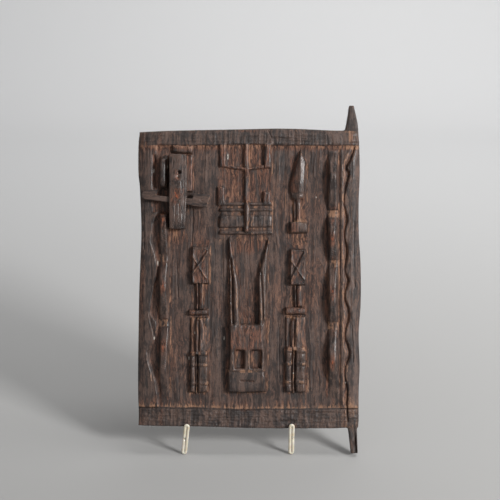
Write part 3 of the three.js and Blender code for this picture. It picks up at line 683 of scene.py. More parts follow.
@dataclass(frozen=True)
class StandingFigure:
    """A standing figure: a box crossed by two strokes, a neck, shoulders, a body and ringed legs."""

    box: tuple[float, float, float, float]
    thick: tuple[Point, Point]
    thin: tuple[Point, Point]
    neck: tuple[float, float, float, float]
    neck_gap: float
    shoulder: tuple[float, float, float, float]
    flanks: tuple[float, float, float, float]
    middle: float
    legs: tuple[tuple[float, float], tuple[float, float]]
    rings: tuple[float, float, float]
    hips: tuple[float, float]
    foot: float = 38.4

    def carve(self, relief: Relief) -> None:
        """Leaves the parts of the figure standing from the box down to the feet."""
        left, right, bottom, top = self.box
        relief.raise_box(*self.box, 6.2, 1.1)
        relief.sink_box(left + 1.2, right - 1.0, bottom + 1.4, top - 1.2, GROUND + 5.0, wall=1.6)
        relief.rib(list(self.thick), 3.8, 2.4)
        relief.rib(list(self.thin), 2.4, 1.4)
        relief.groove([(a - 1.9, b + 1.4) for a, b in self.thick], 2.0, 0.7)
        relief.raise_box(*self.neck, 4.8, 1.2, lean=-0.6)
        relief.groove([(self.neck_gap, self.neck[3] - 1), (self.neck_gap, self.neck[2] + 1)], 2.6, 3.2)
        relief.raise_box(*self.shoulder, 6.0, 1.0)
        relief.raise_box(*self.flanks, 2.6, 1.2)
        bottom, top = self.flanks[2], self.flanks[3]
        relief.raise_outline([
            (self.middle - 5.4, bottom), (self.middle + 5.6, bottom), (self.middle + 7.2, bottom + 23),
            (self.middle + 3.4, top), (self.middle - 3.6, top), (self.middle - 6.8, bottom + 23),
        ], lambda u, v: 6.4 - 0.05 * (u - self.middle) ** 2, 1.8)
        relief.groove([(self.middle - 1.0, top - 4), (self.middle - 1.6, bottom + 4)], 2.4, 2.4)
        relief.groove([(self.middle + 5.0, top - 8), (self.middle + 4.6, bottom + 2)], 1.4, 0.8)
        hip = self.flanks[2] + 1.0
        for leg_left, leg_right in self.legs:
            relief.raise_box(leg_left, leg_right, self.foot, hip, 5.6, 1.7)
            for ring in self.rings:
                relief.raise_box(leg_left - 0.2, leg_right + 0.2, ring - 1.7, ring + 1.7, 6.7, 0.8)
                for side in (-2.6, 2.6):
                    relief.groove([(leg_left, ring + side), (leg_right, ring + side)], 1.6, 0.7)
        relief.raise_box(*self.hips, hip - 2.2, hip + 2.4, 6.6, 1.0)
        gap = (self.legs[0][1] + self.legs[1][0]) / 2 - 0.2
        relief.rib([(gap, hip), (gap, self.foot)], 2.4, 4.0)
        self.stain(relief)

    def stain(self, relief: Relief) -> None:
        """Tans the strokes, the rings and the lines between and beside the parts, and paints shade into the grooves of
        the neck and the body.
        """
        left, right, bottom, top = self.box
        relief.tint_line(Tint.TAN, [(a + 0.7, b - 0.5) for a, b in self.thick], 2.0, 0.9)
        relief.tint_line(Tint.TAN, list(self.thin), 1.8, 0.85)
        relief.tint_box(Tint.RUDDY, left + 1.5, right - 1.5, bottom + 1.5, top - 2.0, 1.1, 5.0)
        relief.tint_spot(Tint.EMBER, right - 5.0, bottom + 5.0, 2.0, 2.0, 0.5)
        relief.tint_line(Tint.TAN, [(right + 1.4, top), (right + 1.6, bottom - 2)], 2.2, 0.9)
        relief.tint_line(Tint.TAN, [(left, bottom - 0.7), (right, bottom - 0.7)], 1.4, 0.8)
        relief.tint_box(Tint.RUDDY, left - 1, right + 1, top + 0.6, top + 7, 0.9, 3.0)
        low, high = self.neck[2], self.neck[3]
        relief.tint_box(Tint.TAN, self.neck[0] - 5.5, self.neck_gap - 1.6, low, high, 0.5, 1.6)
        relief.tint_line(Tint.TAN, [(self.neck[1] - 1.8, high), (self.neck[1] - 1.8, low)], 1.8, 0.9)
        # painted shade in the neck's groove
        relief.tint_line(Tint.SHADE, [(self.neck_gap, high - 1), (self.neck_gap, low + 1)], 2.4, 1.0)
        relief.tint_box(Tint.RUDDY, self.neck[0] - 5, self.neck[1] + 3, low, high, 0.8, 2.0)
        relief.tint_box(Tint.RUDDY, *self.shoulder, 0.8, 1.5)
        bottom, top = self.flanks[2], self.flanks[3]
        relief.tint_box(Tint.TAN, self.flanks[0] + 1, self.flanks[1], top - 2.5, top + 0.8, 0.9, 2.0)
        for u in (self.middle + 2.2, self.middle + 6.4, self.flanks[0] + 1.4):
            relief.tint_line(Tint.TAN, [(u, top - 3), (u - 0.8, bottom + 4)], 1.5, 0.75)
        # painted shade in the body's middle groove
        relief.tint_line(Tint.SHADE, [(self.middle - 1, top - 6), (self.middle - 1.4, bottom + 6)], 3.0, 0.8)
        relief.tint_box(Tint.TAN, self.hips[0], self.hips[1], bottom - 1.4, bottom + 3.4, 0.7, 1.4)
        relief.tint_box(Tint.RUDDY, self.hips[0], self.hips[1], bottom - 1.4, bottom + 3.4, 1.0, 1.4)
        relief.tint_box(Tint.RUDDY, self.flanks[0], self.flanks[1], bottom, top, 0.6, 2.0)
        relief.tint_box(Tint.TAN, self.flanks[0], self.flanks[1], bottom + 3, top, 0.42, 2.0)
        gap = (self.legs[0][1] + self.legs[1][0]) / 2
        relief.tint_line(Tint.TAN, [(gap, bottom), (gap, self.foot)], 2.2, 1.0)
        for ring in self.rings[1:]:
            for leg_left, leg_right in self.legs:
                relief.tint_box(Tint.TAN, leg_left, leg_right, ring - 1.6, ring + 1.6, 0.7, 1.4)
        relief.tint_line(Tint.TAN, [(self.legs[1][1] + 2.4, bottom), (self.legs[1][1] + 2.2, self.foot)], 3.0, 0.85)
        relief.tint_line(Tint.TAN, [(self.legs[0][0], self.foot - 1), (self.legs[1][1], self.foot - 1)], 1.6, 0.6)


@dataclass(frozen=True)
class PointedCap:
    """What stands on the head of the right figure: a block, a neck and a tall pointed cap."""

    outline: tuple[Point, ...] = (
        (55, 296.4), (60.2, 284), (60.6, 252), (58, 243), (46.4, 243), (43.4, 252), (44, 262), (50.4, 285),
    )
    neck: tuple[float, float, float, float] = (47.6, 55.6, 218, 245)
    block: tuple[float, float, float, float] = (43.1, 62.3, 206.6, 219.4)

    @staticmethod
    def facets(u: Array, v: Array) -> Array:
        """The cap's two faces meet in a keel, and both fall towards the point."""
        keel = np.interp(v, [243.0, 262.0, 296.4], [53.6, 54.4, 55.0])
        return np.interp(v, [243.0, 260.0, 296.4], [6.2, 8.0, 5.2]) - 0.42 * np.abs(u - keel)

    def carve(self, relief: Relief) -> None:
        """Leaves the cap, its neck and the block standing."""
        relief.raise_outline(list(self.outline), self.facets, 1.2)
        relief.groove([(45.0, 249.0), (60.0, 249.0)], 1.8, 1.0)
        relief.raise_box(*self.neck, 4.6, 1.2)
        relief.groove([(49.6, 243), (49.6, 220)], 2.4, 3.0)
        relief.raise_box(*self.block, 6.4, 1.0)
        relief.tint_box(Tint.RUDDY, 43.5, 53.0, 250, 290, 1.3, 4.0)
        # painted shade on the cap's left face, which turns away from the light
        relief.tint_box(Tint.SHADE, 43.5, 51.0, 256, 288, 0.35, 4.0)
        relief.tint_line(Tint.TAN, [(59.8, 292), (62.4, 278), (62.0, 240)], 2.0, 0.9)
        relief.tint_line(Tint.TAN, [(38.9, 266), (39.6, 246), (38.6, 224)], 2.2, 0.85)
        relief.tint_line(Tint.TAN, [(56.4, 290), (57.6, 256)], 1.2, 0.35)
        relief.tint_box(Tint.TAN, 42.6, 48.4, 220.5, 243, 0.55, 1.5)
        relief.tint_box(Tint.TAN, 51.0, 60.0, 220.5, 243, 0.5, 1.5)
        relief.tint_box(Tint.RUDDY, 42.6, 60, 220, 245, 1.0, 2.0)
        # painted shade in the neck's groove
        relief.tint_line(Tint.SHADE, [(49.6, 243), (49.6, 220)], 2.0, 0.9)
        relief.tint_box(Tint.TAN, 47.0, 62, 218.6, 221.6, 0.8, 1.2)
        relief.tint_box(Tint.RUDDY, 44.5, 52.5, 208, 218, 0.95, 2.0)
        relief.tint_box(Tint.TAN, 40.5, 61.5, 192.0, 205.6, 0.6, 2.5)
        relief.tint_box(Tint.RUDDY, 40.5, 61.5, 192.0, 205.6, 1.2, 2.5)
        relief.tint_line(Tint.TAN, [(63.2, 219), (63.2, 206)], 1.6, 0.8)


@dataclass(frozen=True)
class LockBed:
    """The ground under the lock: a pad, the stub over it and the cut that lets the bolt through."""

    pad: tuple[float, float, float, float] = (-85.6, -59.6, 236, 291.5)
    stub: tuple[float, float, float, float] = (-82, -59.6, 292.4, 300.8)
    pad_height: float = 3.5
    ridge_cut: tuple[float, float, float, float] = (-103.5, -84.0, 229.8, 252.4)
    bolt_way: float = 19.6

    def carve(self, relief: Relief) -> None:
        """Leaves the pad and the stub standing and opens the way of the bolt."""
        relief.raise_box(*self.pad, self.pad_height, 0.6)
        relief.raise_box(*self.stub, 4.5, 0.9, lean=0.8)
        left, right, bottom, top = self.ridge_cut
        relief.sink_box(left, right, bottom, top, GROUND + 0.6, wall=1.0)
        relief.sink_box(-65.8, -58.6, 243.4, 251.4, GROUND + 0.2, wall=0.9)
        self.open_bolt_way(relief)
        relief.tint_box(Tint.RUDDY, left - 0.5, right + 1, bottom, top, 1.0, 2.0)
        relief.tint_box(Tint.EMBER, -94.0, -86.0, 232.0, 239.0, 0.3, 4.0)
        relief.tint_box(Tint.RUDDY, -66.0, -59.8, 252, 291, 1.1, 1.5)
        relief.tint_line(Tint.TAN, [(-65.4, 289), (-65.4, 254)], 1.2, 0.6)
        relief.tint_line(Tint.PALE, [(-60.2, 299.5), (-60.0, 293.4)], 1.4, 0.65)
        # painted shade in the small sunk hole at the pad's right
        relief.tint_box(Tint.SHADE, -65.8, -58.2, 243.4, 252.0, 1.2, 1.0)
        relief.tint_box(Tint.TAN, -85.8, -65.0, 200.0, 211.4, 0.6, 4.0)
        relief.tint_box(Tint.RUDDY, -85.8, -65.0, 198.0, 211.4, 1.2, 4.0)
        relief.tint_box(Tint.EMBER, -84.0, -68.0, 205.0, 211.0, 0.42, 3.0)
        relief.tint_line(Tint.TAN, [(-64.4, 243), (-64.0, 212)], 2.6, 0.8)
        relief.tint_line(Tint.EMBER, [(-64.2, 238), (-63.8, 218)], 2.0, 0.5)

    def open_bolt_way(self, relief: Relief) -> None:
        """Lowers everything in the bolt's path to just under the bolt."""
        axes = BoltAxes()
        x, y = axes.along(relief.u, relief.v)
        way = np.minimum(np.minimum(x + 45.8, 47.6 - x), np.minimum(y + 7.0, 9.6 - y))
        share = ease(-0.6, 0.1, way)
        relief.height -= np.maximum(relief.height - self.bolt_way, 0.0) * share


@dataclass(frozen=True)
class Mishaps:
    """Chips, scratches and loose fibres that time has left on the face."""

    chips: tuple[tuple[float, float, float], ...] = (
        (-22.4, 288.6, 5.2), (-101.3, 273.9, 3.6), (-26.7, 95.8, 4.0), (71.7, 246.0, 3.0),
        (-100.7, 95.8, 3.6), (102.7, 48.5, 2.2), (-57.5, 101.6, 3.2), (-63.9, 74.5, 3.6),
        (-86.6, 278.0, 3.4), (47.0, 59.0, 1.6), (-96.9, 175.0, 5.0),
    )
    scratches: tuple[tuple[Point, ...], ...] = (
        ((-29.8, 279.5), (-29.6, 284.5)), ((73, 181), (76.1, 176.8), (79.3, 170.4), (82.4, 160)),
        ((68.6, 205), (69.4, 190), (68.8, 172)), ((63.5, 192), (64.5, 176)), ((-35.5, 88), (-33, 72)),
        ((64.6, 104), (66.5, 84), (64.5, 60), (66.0, 40)), ((73.4, 66), (76.5, 48), (75.0, 38)),
        ((-34.0, 86), (-32.6, 96)), ((97.9, 286), (99.4, 262), (98.6, 236)), ((-64.4, 300), (-64.0, 292)),
        ((-54.0, 250), (-53.2, 226), (-54.4, 205)), ((84.5, 286), (83.0, 262)), ((-72.6, 190), (-73.4, 160)),
        ((70.2, 292), (69.6, 268)), ((31.6, 292), (32.4, 262)), ((-45.2, 292), (-46.4, 262)),
    )
    cracks: tuple[tuple[Point, ...], ...] = (
        ((-60, 240), (-59.4, 214), (-60.6, 196)), ((32.6, 110), (32.0, 84), (33.0, 52)),
        ((-76.4, 176), (-75.6, 140)), ((112.4, 220), (112.0, 176), (112.8, 150)),
        ((109.6, 110), (110.2, 70)), ((-112.0, 240), (-111.2, 190)), ((20, 317), (24, 309), (60, 308)),
    )

    def carve(self, relief: Relief) -> None:
        """Cuts the chips, scratches and cracks and tints each."""
        for u, v, length in self.chips:
            relief.groove([(u, v - length * 0.4), (u, v + length * 0.4)], 2.0, 0.5)
            relief.tint_spot(Tint.PALE, u, v, 1.05, length * 0.8, 0.95)
        for line in self.scratches:
            relief.rib(list(line), 1.5, 0.4)
            relief.tint_line(Tint.TAN, list(line), 1.2, 0.5)
        for line in self.cracks:
            relief.groove(list(line), 1.1, 0.9)
            # painted shade in each crack
            relief.tint_line(Tint.SHADE, list(line), 1.2, 0.9)


# Solids from outlines and surfaces


@dataclass
class Outline:
    """The four sides of a slab, each a function of the other axis."""

    left: Callable[[Array], Array]
    right: Callable[[Array], Array]
    bottom: Callable[[Array], Array]
    top: Callable[[Array], Array]

    def place(self, s: Array, t: Array) -> tuple[Array, Array]:
        """Lays a square grid into the outline.

        Args:
            s: shares of the way from left to right.
            t: shares of the way from bottom to top.

        Returns:
            Where each grid point lies, across and up.
        """
        u = self.left(np.zeros_like(t)) * (1 - s) + self.right(np.zeros_like(t)) * s
        for _ in range(4):
            v = self.bottom(u) * (1 - t) + self.top(u) * t
            u = self.left(v) * (1 - s) + self.right(v) * s
        return u, v

    def inside(self, u: Array, v: Array) -> Array:
        """How far each place lies inside the outline."""
        sides = np.minimum(u - self.left(v), self.right(v) - u)
        return np.minimum(sides, np.minimum(v - self.bottom(u), self.top(u) - v))


@dataclass
class Slab:
    """A closed solid between a carved front and a plain back."""

    outline: Outline
    front: Callable[[Array, Array], Array]
    back: Callable[[Array, Array], Array]
    columns: int
    rows: int
    rings: int = 9
    front_arris: float = 1.3
    back_arris: float = 1.0
    roughness: float = 0.3
    seed: int = 5

    def build(self) -> tuple[Array, Array]:
        """Makes the solid.

        Returns:
            Its corners as u, v, d, and its four-sided faces.
        """
        share_s, share_t = np.linspace(0, 1, self.columns), np.linspace(0, 1, self.rows)
        s, t = np.meshgrid(share_s, share_t, indexing="ij")
        u, v = self.outline.place(s, t)
        inside = np.maximum(self.outline.inside(u, v), 0.0)
        front = self.front(u, v) - self.worn(inside, self.front_arris)
        back = self.back(u, v) + self.worn(inside, self.back_arris)
        count = self.columns * self.rows
        number = np.arange(count).reshape(self.columns, self.rows)
        faces = [self.quads(number), self.quads(number + count)[:, ::-1]]
        loop = self.perimeter(number)
        points = [np.stack([x.ravel() for x in (u, v, front)], 1), np.stack([x.ravel() for x in (u, v, back)], 1)]
        walls = self.walls(points[0][loop], points[1][loop])
        points.append(walls.reshape(-1, 3))
        levels = [loop, *(2 * count + np.arange(len(loop)) + k * len(loop) for k in range(self.rings)), loop + count]
        for upper, lower in zip(levels, levels[1:]):
            ahead_upper, ahead_lower = np.roll(upper, -1), np.roll(lower, -1)
            faces.append(np.stack([upper, lower, ahead_lower, ahead_upper], 1))
        return np.concatenate(points), np.concatenate(faces)

    @staticmethod
    def worn(inside: Array, arris: float) -> Array:
        """How far a worn arris falls at a distance in from the outline."""
        t = np.clip(inside / (1.25 * arris), 0.0, 1.0)
        return arris * (1.0 - np.sqrt(1.0 - (1.0 - t) ** 2))

    @staticmethod
    def quads(number: Array) -> Array:
        """The faces of a grid of numbered corners."""
        a, b = number[:-1, :-1], number[1:, :-1]
        c, d = number[1:, 1:], number[:-1, 1:]
        return np.stack([x.ravel() for x in (a, b, c, d)], 1)

    @staticmethod
    def perimeter(number: Array) -> Array:
        """The corners around a grid, in order."""
        return np.concatenate([number[:-1, 0], number[-1, :-1], number[:0:-1, -1], number[0, :0:-1]])

    def walls(self, front: Array, back: Array) -> Array:
        """Rings of points down the sides, roughened inwards only.

        Args:
            front: the front's edge.
            back: the back's edge.

        Returns:
            The rings, from the front to the back.
        """
        count = len(front)
        ahead = np.roll(front, -1, 0) - np.roll(front, 1, 0)
        inward = np.stack([-ahead[:, 1], ahead[:, 0]], 1)
        inward /= np.linalg.norm(inward, axis=1, keepdims=True) + 1e-9
        random = np.random.default_rng(self.seed)
        smooth = np.exp(-0.5 * (np.fft.fftfreq(count)[:, None] * count / 90.0) ** 2)
        rough = np.fft.ifft(np.fft.fft(random.standard_normal((count, self.rings)), axis=0) * smooth, axis=0).real
        rough /= rough.std()
        rings = []
        for k in range(self.rings):
            share = (k + 1) / (self.rings + 1)
            depth = self.roughness * (0.55 + 0.35 * rough[:, k]) * math.sin(math.pi * share) ** 0.5
            ring = front * (1 - share) + back * share
            ring[:, :2] += inward * np.clip(depth, 0.0, None)[:, None]
            rings.append(ring)
        return np.stack(rings)


@dataclass(frozen=True)
class Section:
    """One cross section of a peg, square to the board's v."""

    v: float
    left: float
    right: float
    back: float
    front: float


@dataclass(frozen=True)
class Peg:
    """A tapered pivot peg, whittled to facets."""

    sections: tuple[Section, ...]
    seed: int
    split: tuple[Point, Point] | None = None
    around: int = 64
    rings: int = 60

    def build(self) -> tuple[Array, Array]:
        """Makes the peg as a closed solid.

        Returns:
            Its corners as u, v, d, and its four-sided faces.
        """
        levels = np.array([s.v for s in self.sections])
        v = np.linspace(levels[0], levels[-1], self.rings)
        sizes = [np.interp(v, levels, [getattr(s, name) for s in self.sections])[:, None]
                 for name in ("left", "right", "back", "front")]
        left, right, back, front = sizes
        angle = np.linspace(0, 2 * math.pi, self.around, endpoint=False)[None, :]
        power = 0.34
        x = np.sign(np.cos(angle)) * np.abs(np.cos(angle)) ** power
        y = np.sign(np.sin(angle)) * np.abs(np.sin(angle)) ** power
        shrink = 1.0 - self.whittled(v)
        u = (left + right) / 2 + (right - left) / 2 * x * shrink
        d = (back + front) / 2 + (front - back) / 2 * y * shrink
        if self.split:
            (low_u, low_v), (high_u, high_v) = self.split
            line = np.interp(v, [low_v, high_v], [low_u, high_u])[:, None]
            deep = 2.4 * bell(u - line, 0.75) * (y > 0.3) * ease(high_v + 1, high_v - 4, v)[:, None]
            d = d - deep
        rows = np.broadcast_to(v[:, None], u.shape)
        points = np.stack([u, rows, d], 2).reshape(-1, 3)
        number = np.arange(self.rings * self.around).reshape(self.rings, self.around)
        ahead = np.roll(number, -1, 1)
        faces = [np.stack([a.ravel() for a in (ahead[:-1], number[:-1], number[1:], ahead[1:])], 1)]
        for ring, sign in ((0, 1), (self.rings - 1, -1)):
            middle = points[number[ring]].mean(0)
            inner = points[number[ring]] * 0.45 + middle * 0.55
            start = len(points)
            points = np.concatenate([points, inner, middle[None]])
            inside = start + np.arange(self.around)
            turned = np.roll(inside, -1)
            rim = np.stack([number[ring], ahead[ring], turned, inside], 1)[:, ::sign]
            hub = np.full(self.around // 2, start + self.around)
            fan = np.stack([inside[::2], turned[::2], np.roll(inside, -2)[::2], hub], 1)[:, ::sign]
            faces += [rim, fan]
        return points, np.concatenate(faces)

    def whittled(self, v: Array) -> Array:
        """How much the knife has taken off at each place, as a share of the half width."""
        random = np.random.default_rng(self.seed)
        rows = np.arange(self.rings)[:, None] / self.rings
        turn = np.arange(self.around)[None, :] / self.around * 2 * math.pi
        cut = np.zeros((self.rings, self.around))
        for wave in range(3, 12):
            phase, lift, skew = random.uniform(0, 2 * math.pi, 3)
            strength = 0.012 / (wave / 3) ** 0.6
            cut = cut + strength * (0.5 + 0.5 * np.sin(wave * turn + phase + skew * rows))
            cut = cut + 0.4 * strength * (0.5 + 0.5 * np.sin(wave * 2.1 * rows * 3 + lift + turn))
        ends = np.minimum(np.arange(self.rings), np.arange(self.rings)[::-1])[:, None]
        return cut + 0.07 * np.clip(1 - ends / 2.0, 0, 1) ** 2


def rounded_path(corners: list[tuple[Array, float]], steps: int = 14) -> Array:
    """A path through corners, each rounded to its own radius.

    Args:
        corners: the corners, with their radii; the first and last radius count for nothing.
        steps: how many stretches make a bend.

    Returns:
        Points along the path.
    """
    path = [corners[0][0]]
    for (before, _), (corner, radius), (after, _) in zip(corners, corners[1:], corners[2:]):
        back = (before - corner) / np.linalg.norm(before - corner)
        ahead = (after - corner) / np.linalg.norm(after - corner)
        half = math.acos(float(np.clip(back @ ahead, -1, 1))) / 2
        middle = (back + ahead) / np.linalg.norm(back + ahead)
        centre = corner + middle * radius / math.sin(half)
        start = corner + back * radius / math.tan(half) - centre
        side = ahead - back * (back @ ahead)
        side /= np.linalg.norm(side)
        sweep = math.pi - 2 * half
        first = start / np.linalg.norm(start)
        for step in range(steps + 1):
            turn = sweep * step / steps
            path.append(centre + radius * (first * math.cos(turn) - back * math.sin(turn)))
    path.append(corners[-1][0])
    kept = [path[0]]
    for point in path[1:]:
        if np.linalg.norm(point - kept[-1]) > 1e-3:
            kept.append(point)
    return np.array(kept)


def resampled(path: Array, spacing: float) -> Array:
    """A path with extra points on its long straight runs."""
    out = [path[0]]
    for a, b in zip(path, path[1:]):
        count = max(1, int(np.linalg.norm(b - a) / spacing))
        out += [a + (b - a) * k / count for k in range(1, count + 1)]
    return np.array(out)


def tube(path: Array, radius: float, sides: int, seed: int) -> tuple[Array, Array]:
    """A round coated wire along a path, with domed ends and a slightly uneven coat.

    Args:
        path: the middle line.
        radius: the outer radius.
        sides: how many corners a ring has.
        seed: where the random numbers start.

    Returns:
        The corners, and the four-sided faces.
    """
    run = np.gradient(path, axis=0)
    run /= np.linalg.norm(run, axis=1, keepdims=True)
    normal = np.cross(run[0], [0.3, 0.1, 0.9])
    frames = []
    for tangent in run:
        normal = normal - tangent * (normal @ tangent)
        normal /= np.linalg.norm(normal)
        frames.append(normal)
    normal = np.array(frames)
    other = np.cross(run, normal)
    random = np.random.default_rng(seed)
    lumps = np.convolve(random.standard_normal(len(path) + 8), np.ones(9) / 3, "valid")
    coat = radius * (1.0 - 0.012 * np.clip(1.2 + lumps, 0, 3))
    scale, shift = np.ones(len(path)), np.zeros(len(path))
    dome = [(0.0, 0.0), (0.62, 0.16), (0.9, 0.4)]
    path = np.concatenate([np.repeat(path[:1], 3, 0), path[1:-1], np.repeat(path[-1:], 3, 0)])
    index = np.concatenate([[0, 0, 0], np.arange(1, len(scale) - 1), np.full(3, len(scale) - 1)])
    normal, other, run, coat = normal[index], other[index], run[index], coat[index]
    scale, shift = np.ones(len(path)), np.zeros(len(path))
    for k, (size, back) in enumerate(dome):
        scale[k], shift[k] = max(size, 0.18), back * radius
        scale[-1 - k], shift[-1 - k] = max(size, 0.18), -back * radius
    middle = path + run * shift[:, None]
    turn = np.linspace(0, 2 * math.pi, sides, endpoint=False)
    ring = normal[:, None] * np.cos(turn)[None, :, None] + other[:, None] * np.sin(turn)[None, :, None]
    points = middle[:, None] + ring * (coat * scale)[:, None, None]
    count = len(path)
    number = np.arange(count * sides).reshape(count, sides)
    ahead = np.roll(number, -1, 1)
    faces = [np.stack([a.ravel() for a in (number[:-1], ahead[:-1], ahead[1:], number[1:])], 1)]
    points = points.reshape(-1, 3)
    for end, sign in ((0, -1), (count - 1, 1)):
        hub = len(points)
        points = np.concatenate([points, middle[end][None]])
        rim = number[end]
        fan = np.stack([rim[::2], np.roll(rim, -1)[::2], np.roll(rim, -2)[::2], np.full(sides // 2, hub)], 1)
        faces.append(fan[:, ::sign])
    return points, np.concatenate(faces)


# Meshes and places


@dataclass
class BoardAxes:
    """Takes places on the door to the room, from the end of the upper peg that the record states."""

    peg_end: tuple[float, float, float] = (109.15, 343.5, 9.5)
    mount: str = "upper_pivot_end"
    up: Array = field(init=False)
    out: Array = field(init=False)
    origin: Array = field(init=False)

    def __post_init__(self) -> None:
        """Reads the peg's end and its direction from the record."""
        stated = next(m for m in frame["record"]["mounts"] if m["name"] == self.mount)
        self.up = np.array(stated["axis"], float)
        self.out = np.array([0.0, -self.up[2], self.up[1]])
        across, height, depth = self.peg_end
        end = np.array(stated["pos_m"], float) / MM
        self.origin = end - [across, 0.0, 0.0] - height * self.up - depth * self.out

    @property
    def lean(self) -> float:
        """How far the board leans back, in radians."""
        return math.atan2(self.up[1], self.up[2])

    def room(self, points: Array) -> Array:
        """Places on the door, taken to the room, still in millimetres."""
        u, v, d = points[:, 0:1], points[:, 1:2], points[:, 2:3]
        return self.origin + u * np.array([1.0, 0.0, 0.0]) + v * self.up + d * self.out

    def door(self, points: Array) -> Array:
        """Places in the room, in millimetres, taken back to the door."""
        off = points - self.origin
        return np.stack([off[:, 0], off @ self.up, off @ self.out], 1)


@dataclass(frozen=True)
class BoltAxes:
    """The bolt's own axes: along it, across it and out of the board."""

    u: float = -75.6
    v: float = 243.0
    tilt: float = math.radians(-5.4)

    def along(self, u: Array, v: Array) -> tuple[Array, Array]:
        """Places on the door as places along and across the bolt."""
        c, s = math.cos(self.tilt), math.sin(self.tilt)
        return (u - self.u) * c + (v - self.v) * s, (v - self.v) * c - (u - self.u) * s

    def door(self, points: Array) -> Array:
        """Places in the bolt's axes, taken to the door's."""
        c, s = math.cos(self.tilt), math.sin(self.tilt)
        x, y, d = points[:, 0], points[:, 1], points[:, 2]
        return np.stack([self.u + x * c - y * s, self.v + x * s + y * c, d], 1)


def mesh_object(name: str, points: Array, faces: Array) -> bpy.types.Object:
    """Makes an object from corners in the room, in millimetres, and four-sided faces.

    Args:
        name: the name of the piece.
        points: its corners.
        faces: its faces.

    Returns:
        The object, linked to the scene.
    """
    mesh = bpy.data.meshes.new(name)
    mesh.vertices.add(len(points))
    mesh.vertices.foreach_set("co", (points * MM).astype(np.float32).ravel())
    mesh.loops.add(faces.size)
    mesh.loops.foreach_set("vertex_index", faces.astype(np.int32).ravel())
    mesh.polygons.add(len(faces))
    mesh.polygons.foreach_set("loop_start", np.arange(0, faces.size, 4, dtype=np.int32))
    mesh.update(calc_edges=True)
    mesh.validate()
    piece = bpy.data.objects.new(name, mesh)
    bpy.context.scene.collection.objects.link(piece)
    return piece


def settle(piece: bpy.types.Object) -> None:
    """Turns a piece's modifiers into its mesh."""
    graph = bpy.context.evaluated_depsgraph_get()
    made = bpy.data.meshes.new_from_object(piece.evaluated_get(graph))
    old = piece.data
    piece.modifiers.clear()
    piece.data = made
    made.name = piece.name
    bpy.data.meshes.remove(old)


def thin_out(piece: bpy.types.Object, triangles: int) -> None:
    """Merges the triangles of a piece's flatter places until few enough are left."""
    count = sum(len(p.vertices) - 2 for p in piece.data.polygons)
    if count > triangles:
        thinner = piece.modifiers.new("thinner", "DECIMATE")
        thinner.ratio = triangles / count
        settle(piece)


def corners_of(piece: bpy.types.Object) -> Array:
    """The corners of a piece, in millimetres."""
    found = np.empty(len(piece.data.vertices) * 3, np.float32)
    piece.data.vertices.foreach_get("co", found)
    return found.reshape(-1, 3).astype(float) / MM


def set_tint(piece: bpy.types.Object, tint: Tint, values: Array) -> None:
    """Stores one number for each corner of a piece."""
    layer = piece.data.attributes.new(tint.value, "FLOAT", "POINT")
    layer.data.foreach_set("value", values.astype(np.float32))


def finish_piece(piece: bpy.types.Object, material: bpy.types.Material, sharp: float = 48.0) -> None:
    """Smooths the shading of a piece, apart from its sharp arrises, and gives it its material."""
    piece.data.polygons.foreach_set("use_smooth", np.ones(len(piece.data.polygons), bool))
    piece.data.set_sharp_from_angle(angle=math.radians(sharp))
    piece.data.materials.clear()
    piece.data.materials.append(material)


# Finishes


class Nodes:
    """A short way to lay out a material's nodes."""

    def __init__(self, name: str) -> None:
        """Makes a material with nothing but its output."""
        self.material = bpy.data.materials.new(name)
        self.material.use_nodes = True
        self.tree = self.material.node_tree
        self.tree.nodes.clear()
        self.output = self.tree.nodes.new("ShaderNodeOutputMaterial")

    def plug(self, socket: bpy.types.NodeSocket, value: object) -> None:
        """Links a socket to another, or sets its value."""
        if isinstance(value, bpy.types.NodeSocket):
            self.tree.links.new(value, socket)
        elif isinstance(value, tuple) and len(value) == 3 and socket.type == "RGBA":
            socket.default_value = (*value, 1.0)
        else:
            socket.default_value = value

    def add(self, kind: str, inputs: dict, out: str | int = 0, **settings: object) -> bpy.types.NodeSocket:
        """Adds a node.

        Args:
            kind: the node's type.
            inputs: values or sockets for its inputs, by name or number.
            out: which output to give back.
            settings: its other settings.

        Returns:
            The output socket.
        """
        node = self.tree.nodes.new(kind)
        for key, value in settings.items():
            setattr(node, key, value)
        for key, value in inputs.items():
            self.plug(node.inputs[key], value)
        return node.outputs[out]

    def maths(self, operation: str, a: object, b: object = 0.0, clamp: bool = False) -> bpy.types.NodeSocket:
        """One step of arithmetic."""
        return self.add("ShaderNodeMath", {0: a, 1: b}, operation=operation, use_clamp=clamp)

    def mixed(self, share: object, a: object, b: object, blend: str = "MIX") -> bpy.types.NodeSocket:
        """Two colours mixed."""
        node = self.tree.nodes.new("ShaderNodeMix")
        node.data_type, node.blend_type, node.clamp_factor = "RGBA", blend, True
        for key, value in ((0, share), (6, a), (7, b)):
            self.plug(node.inputs[key], value)
        return node.outputs[2]

    def ramp(self, share: object, low: float, high: float) -> bpy.types.NodeSocket:
        """A smooth step from 0 at low to 1 at high."""
        return self.add("ShaderNodeMapRange", {0: share, 1: low, 2: high}, interpolation_type="SMOOTHSTEP")

    def noise(self, vector: object, scale: float, detail: float = 3.0, roughness: float = 0.55,
              distortion: float = 0.0) -> bpy.types.NodeSocket:
        """Cloudy noise, about a half."""
        inputs = {"Vector": vector, "Scale": scale, "Detail": detail, "Roughness": roughness,
                  "Distortion": distortion}
        return self.add("ShaderNodeTexNoise", inputs)

    def stretched(self, vector: object, scale: Colour) -> bpy.types.NodeSocket:
        """A place vector scaled differently along its axes."""
        return self.add("ShaderNodeVectorMath", {0: vector, 1: scale}, operation="MULTIPLY")

    def tint(self, tint: Tint) -> bpy.types.NodeSocket:
        """A tint stored on the mesh."""
        return self.add("ShaderNodeAttribute", {}, "Fac", attribute_name=tint.value, attribute_type="GEOMETRY")


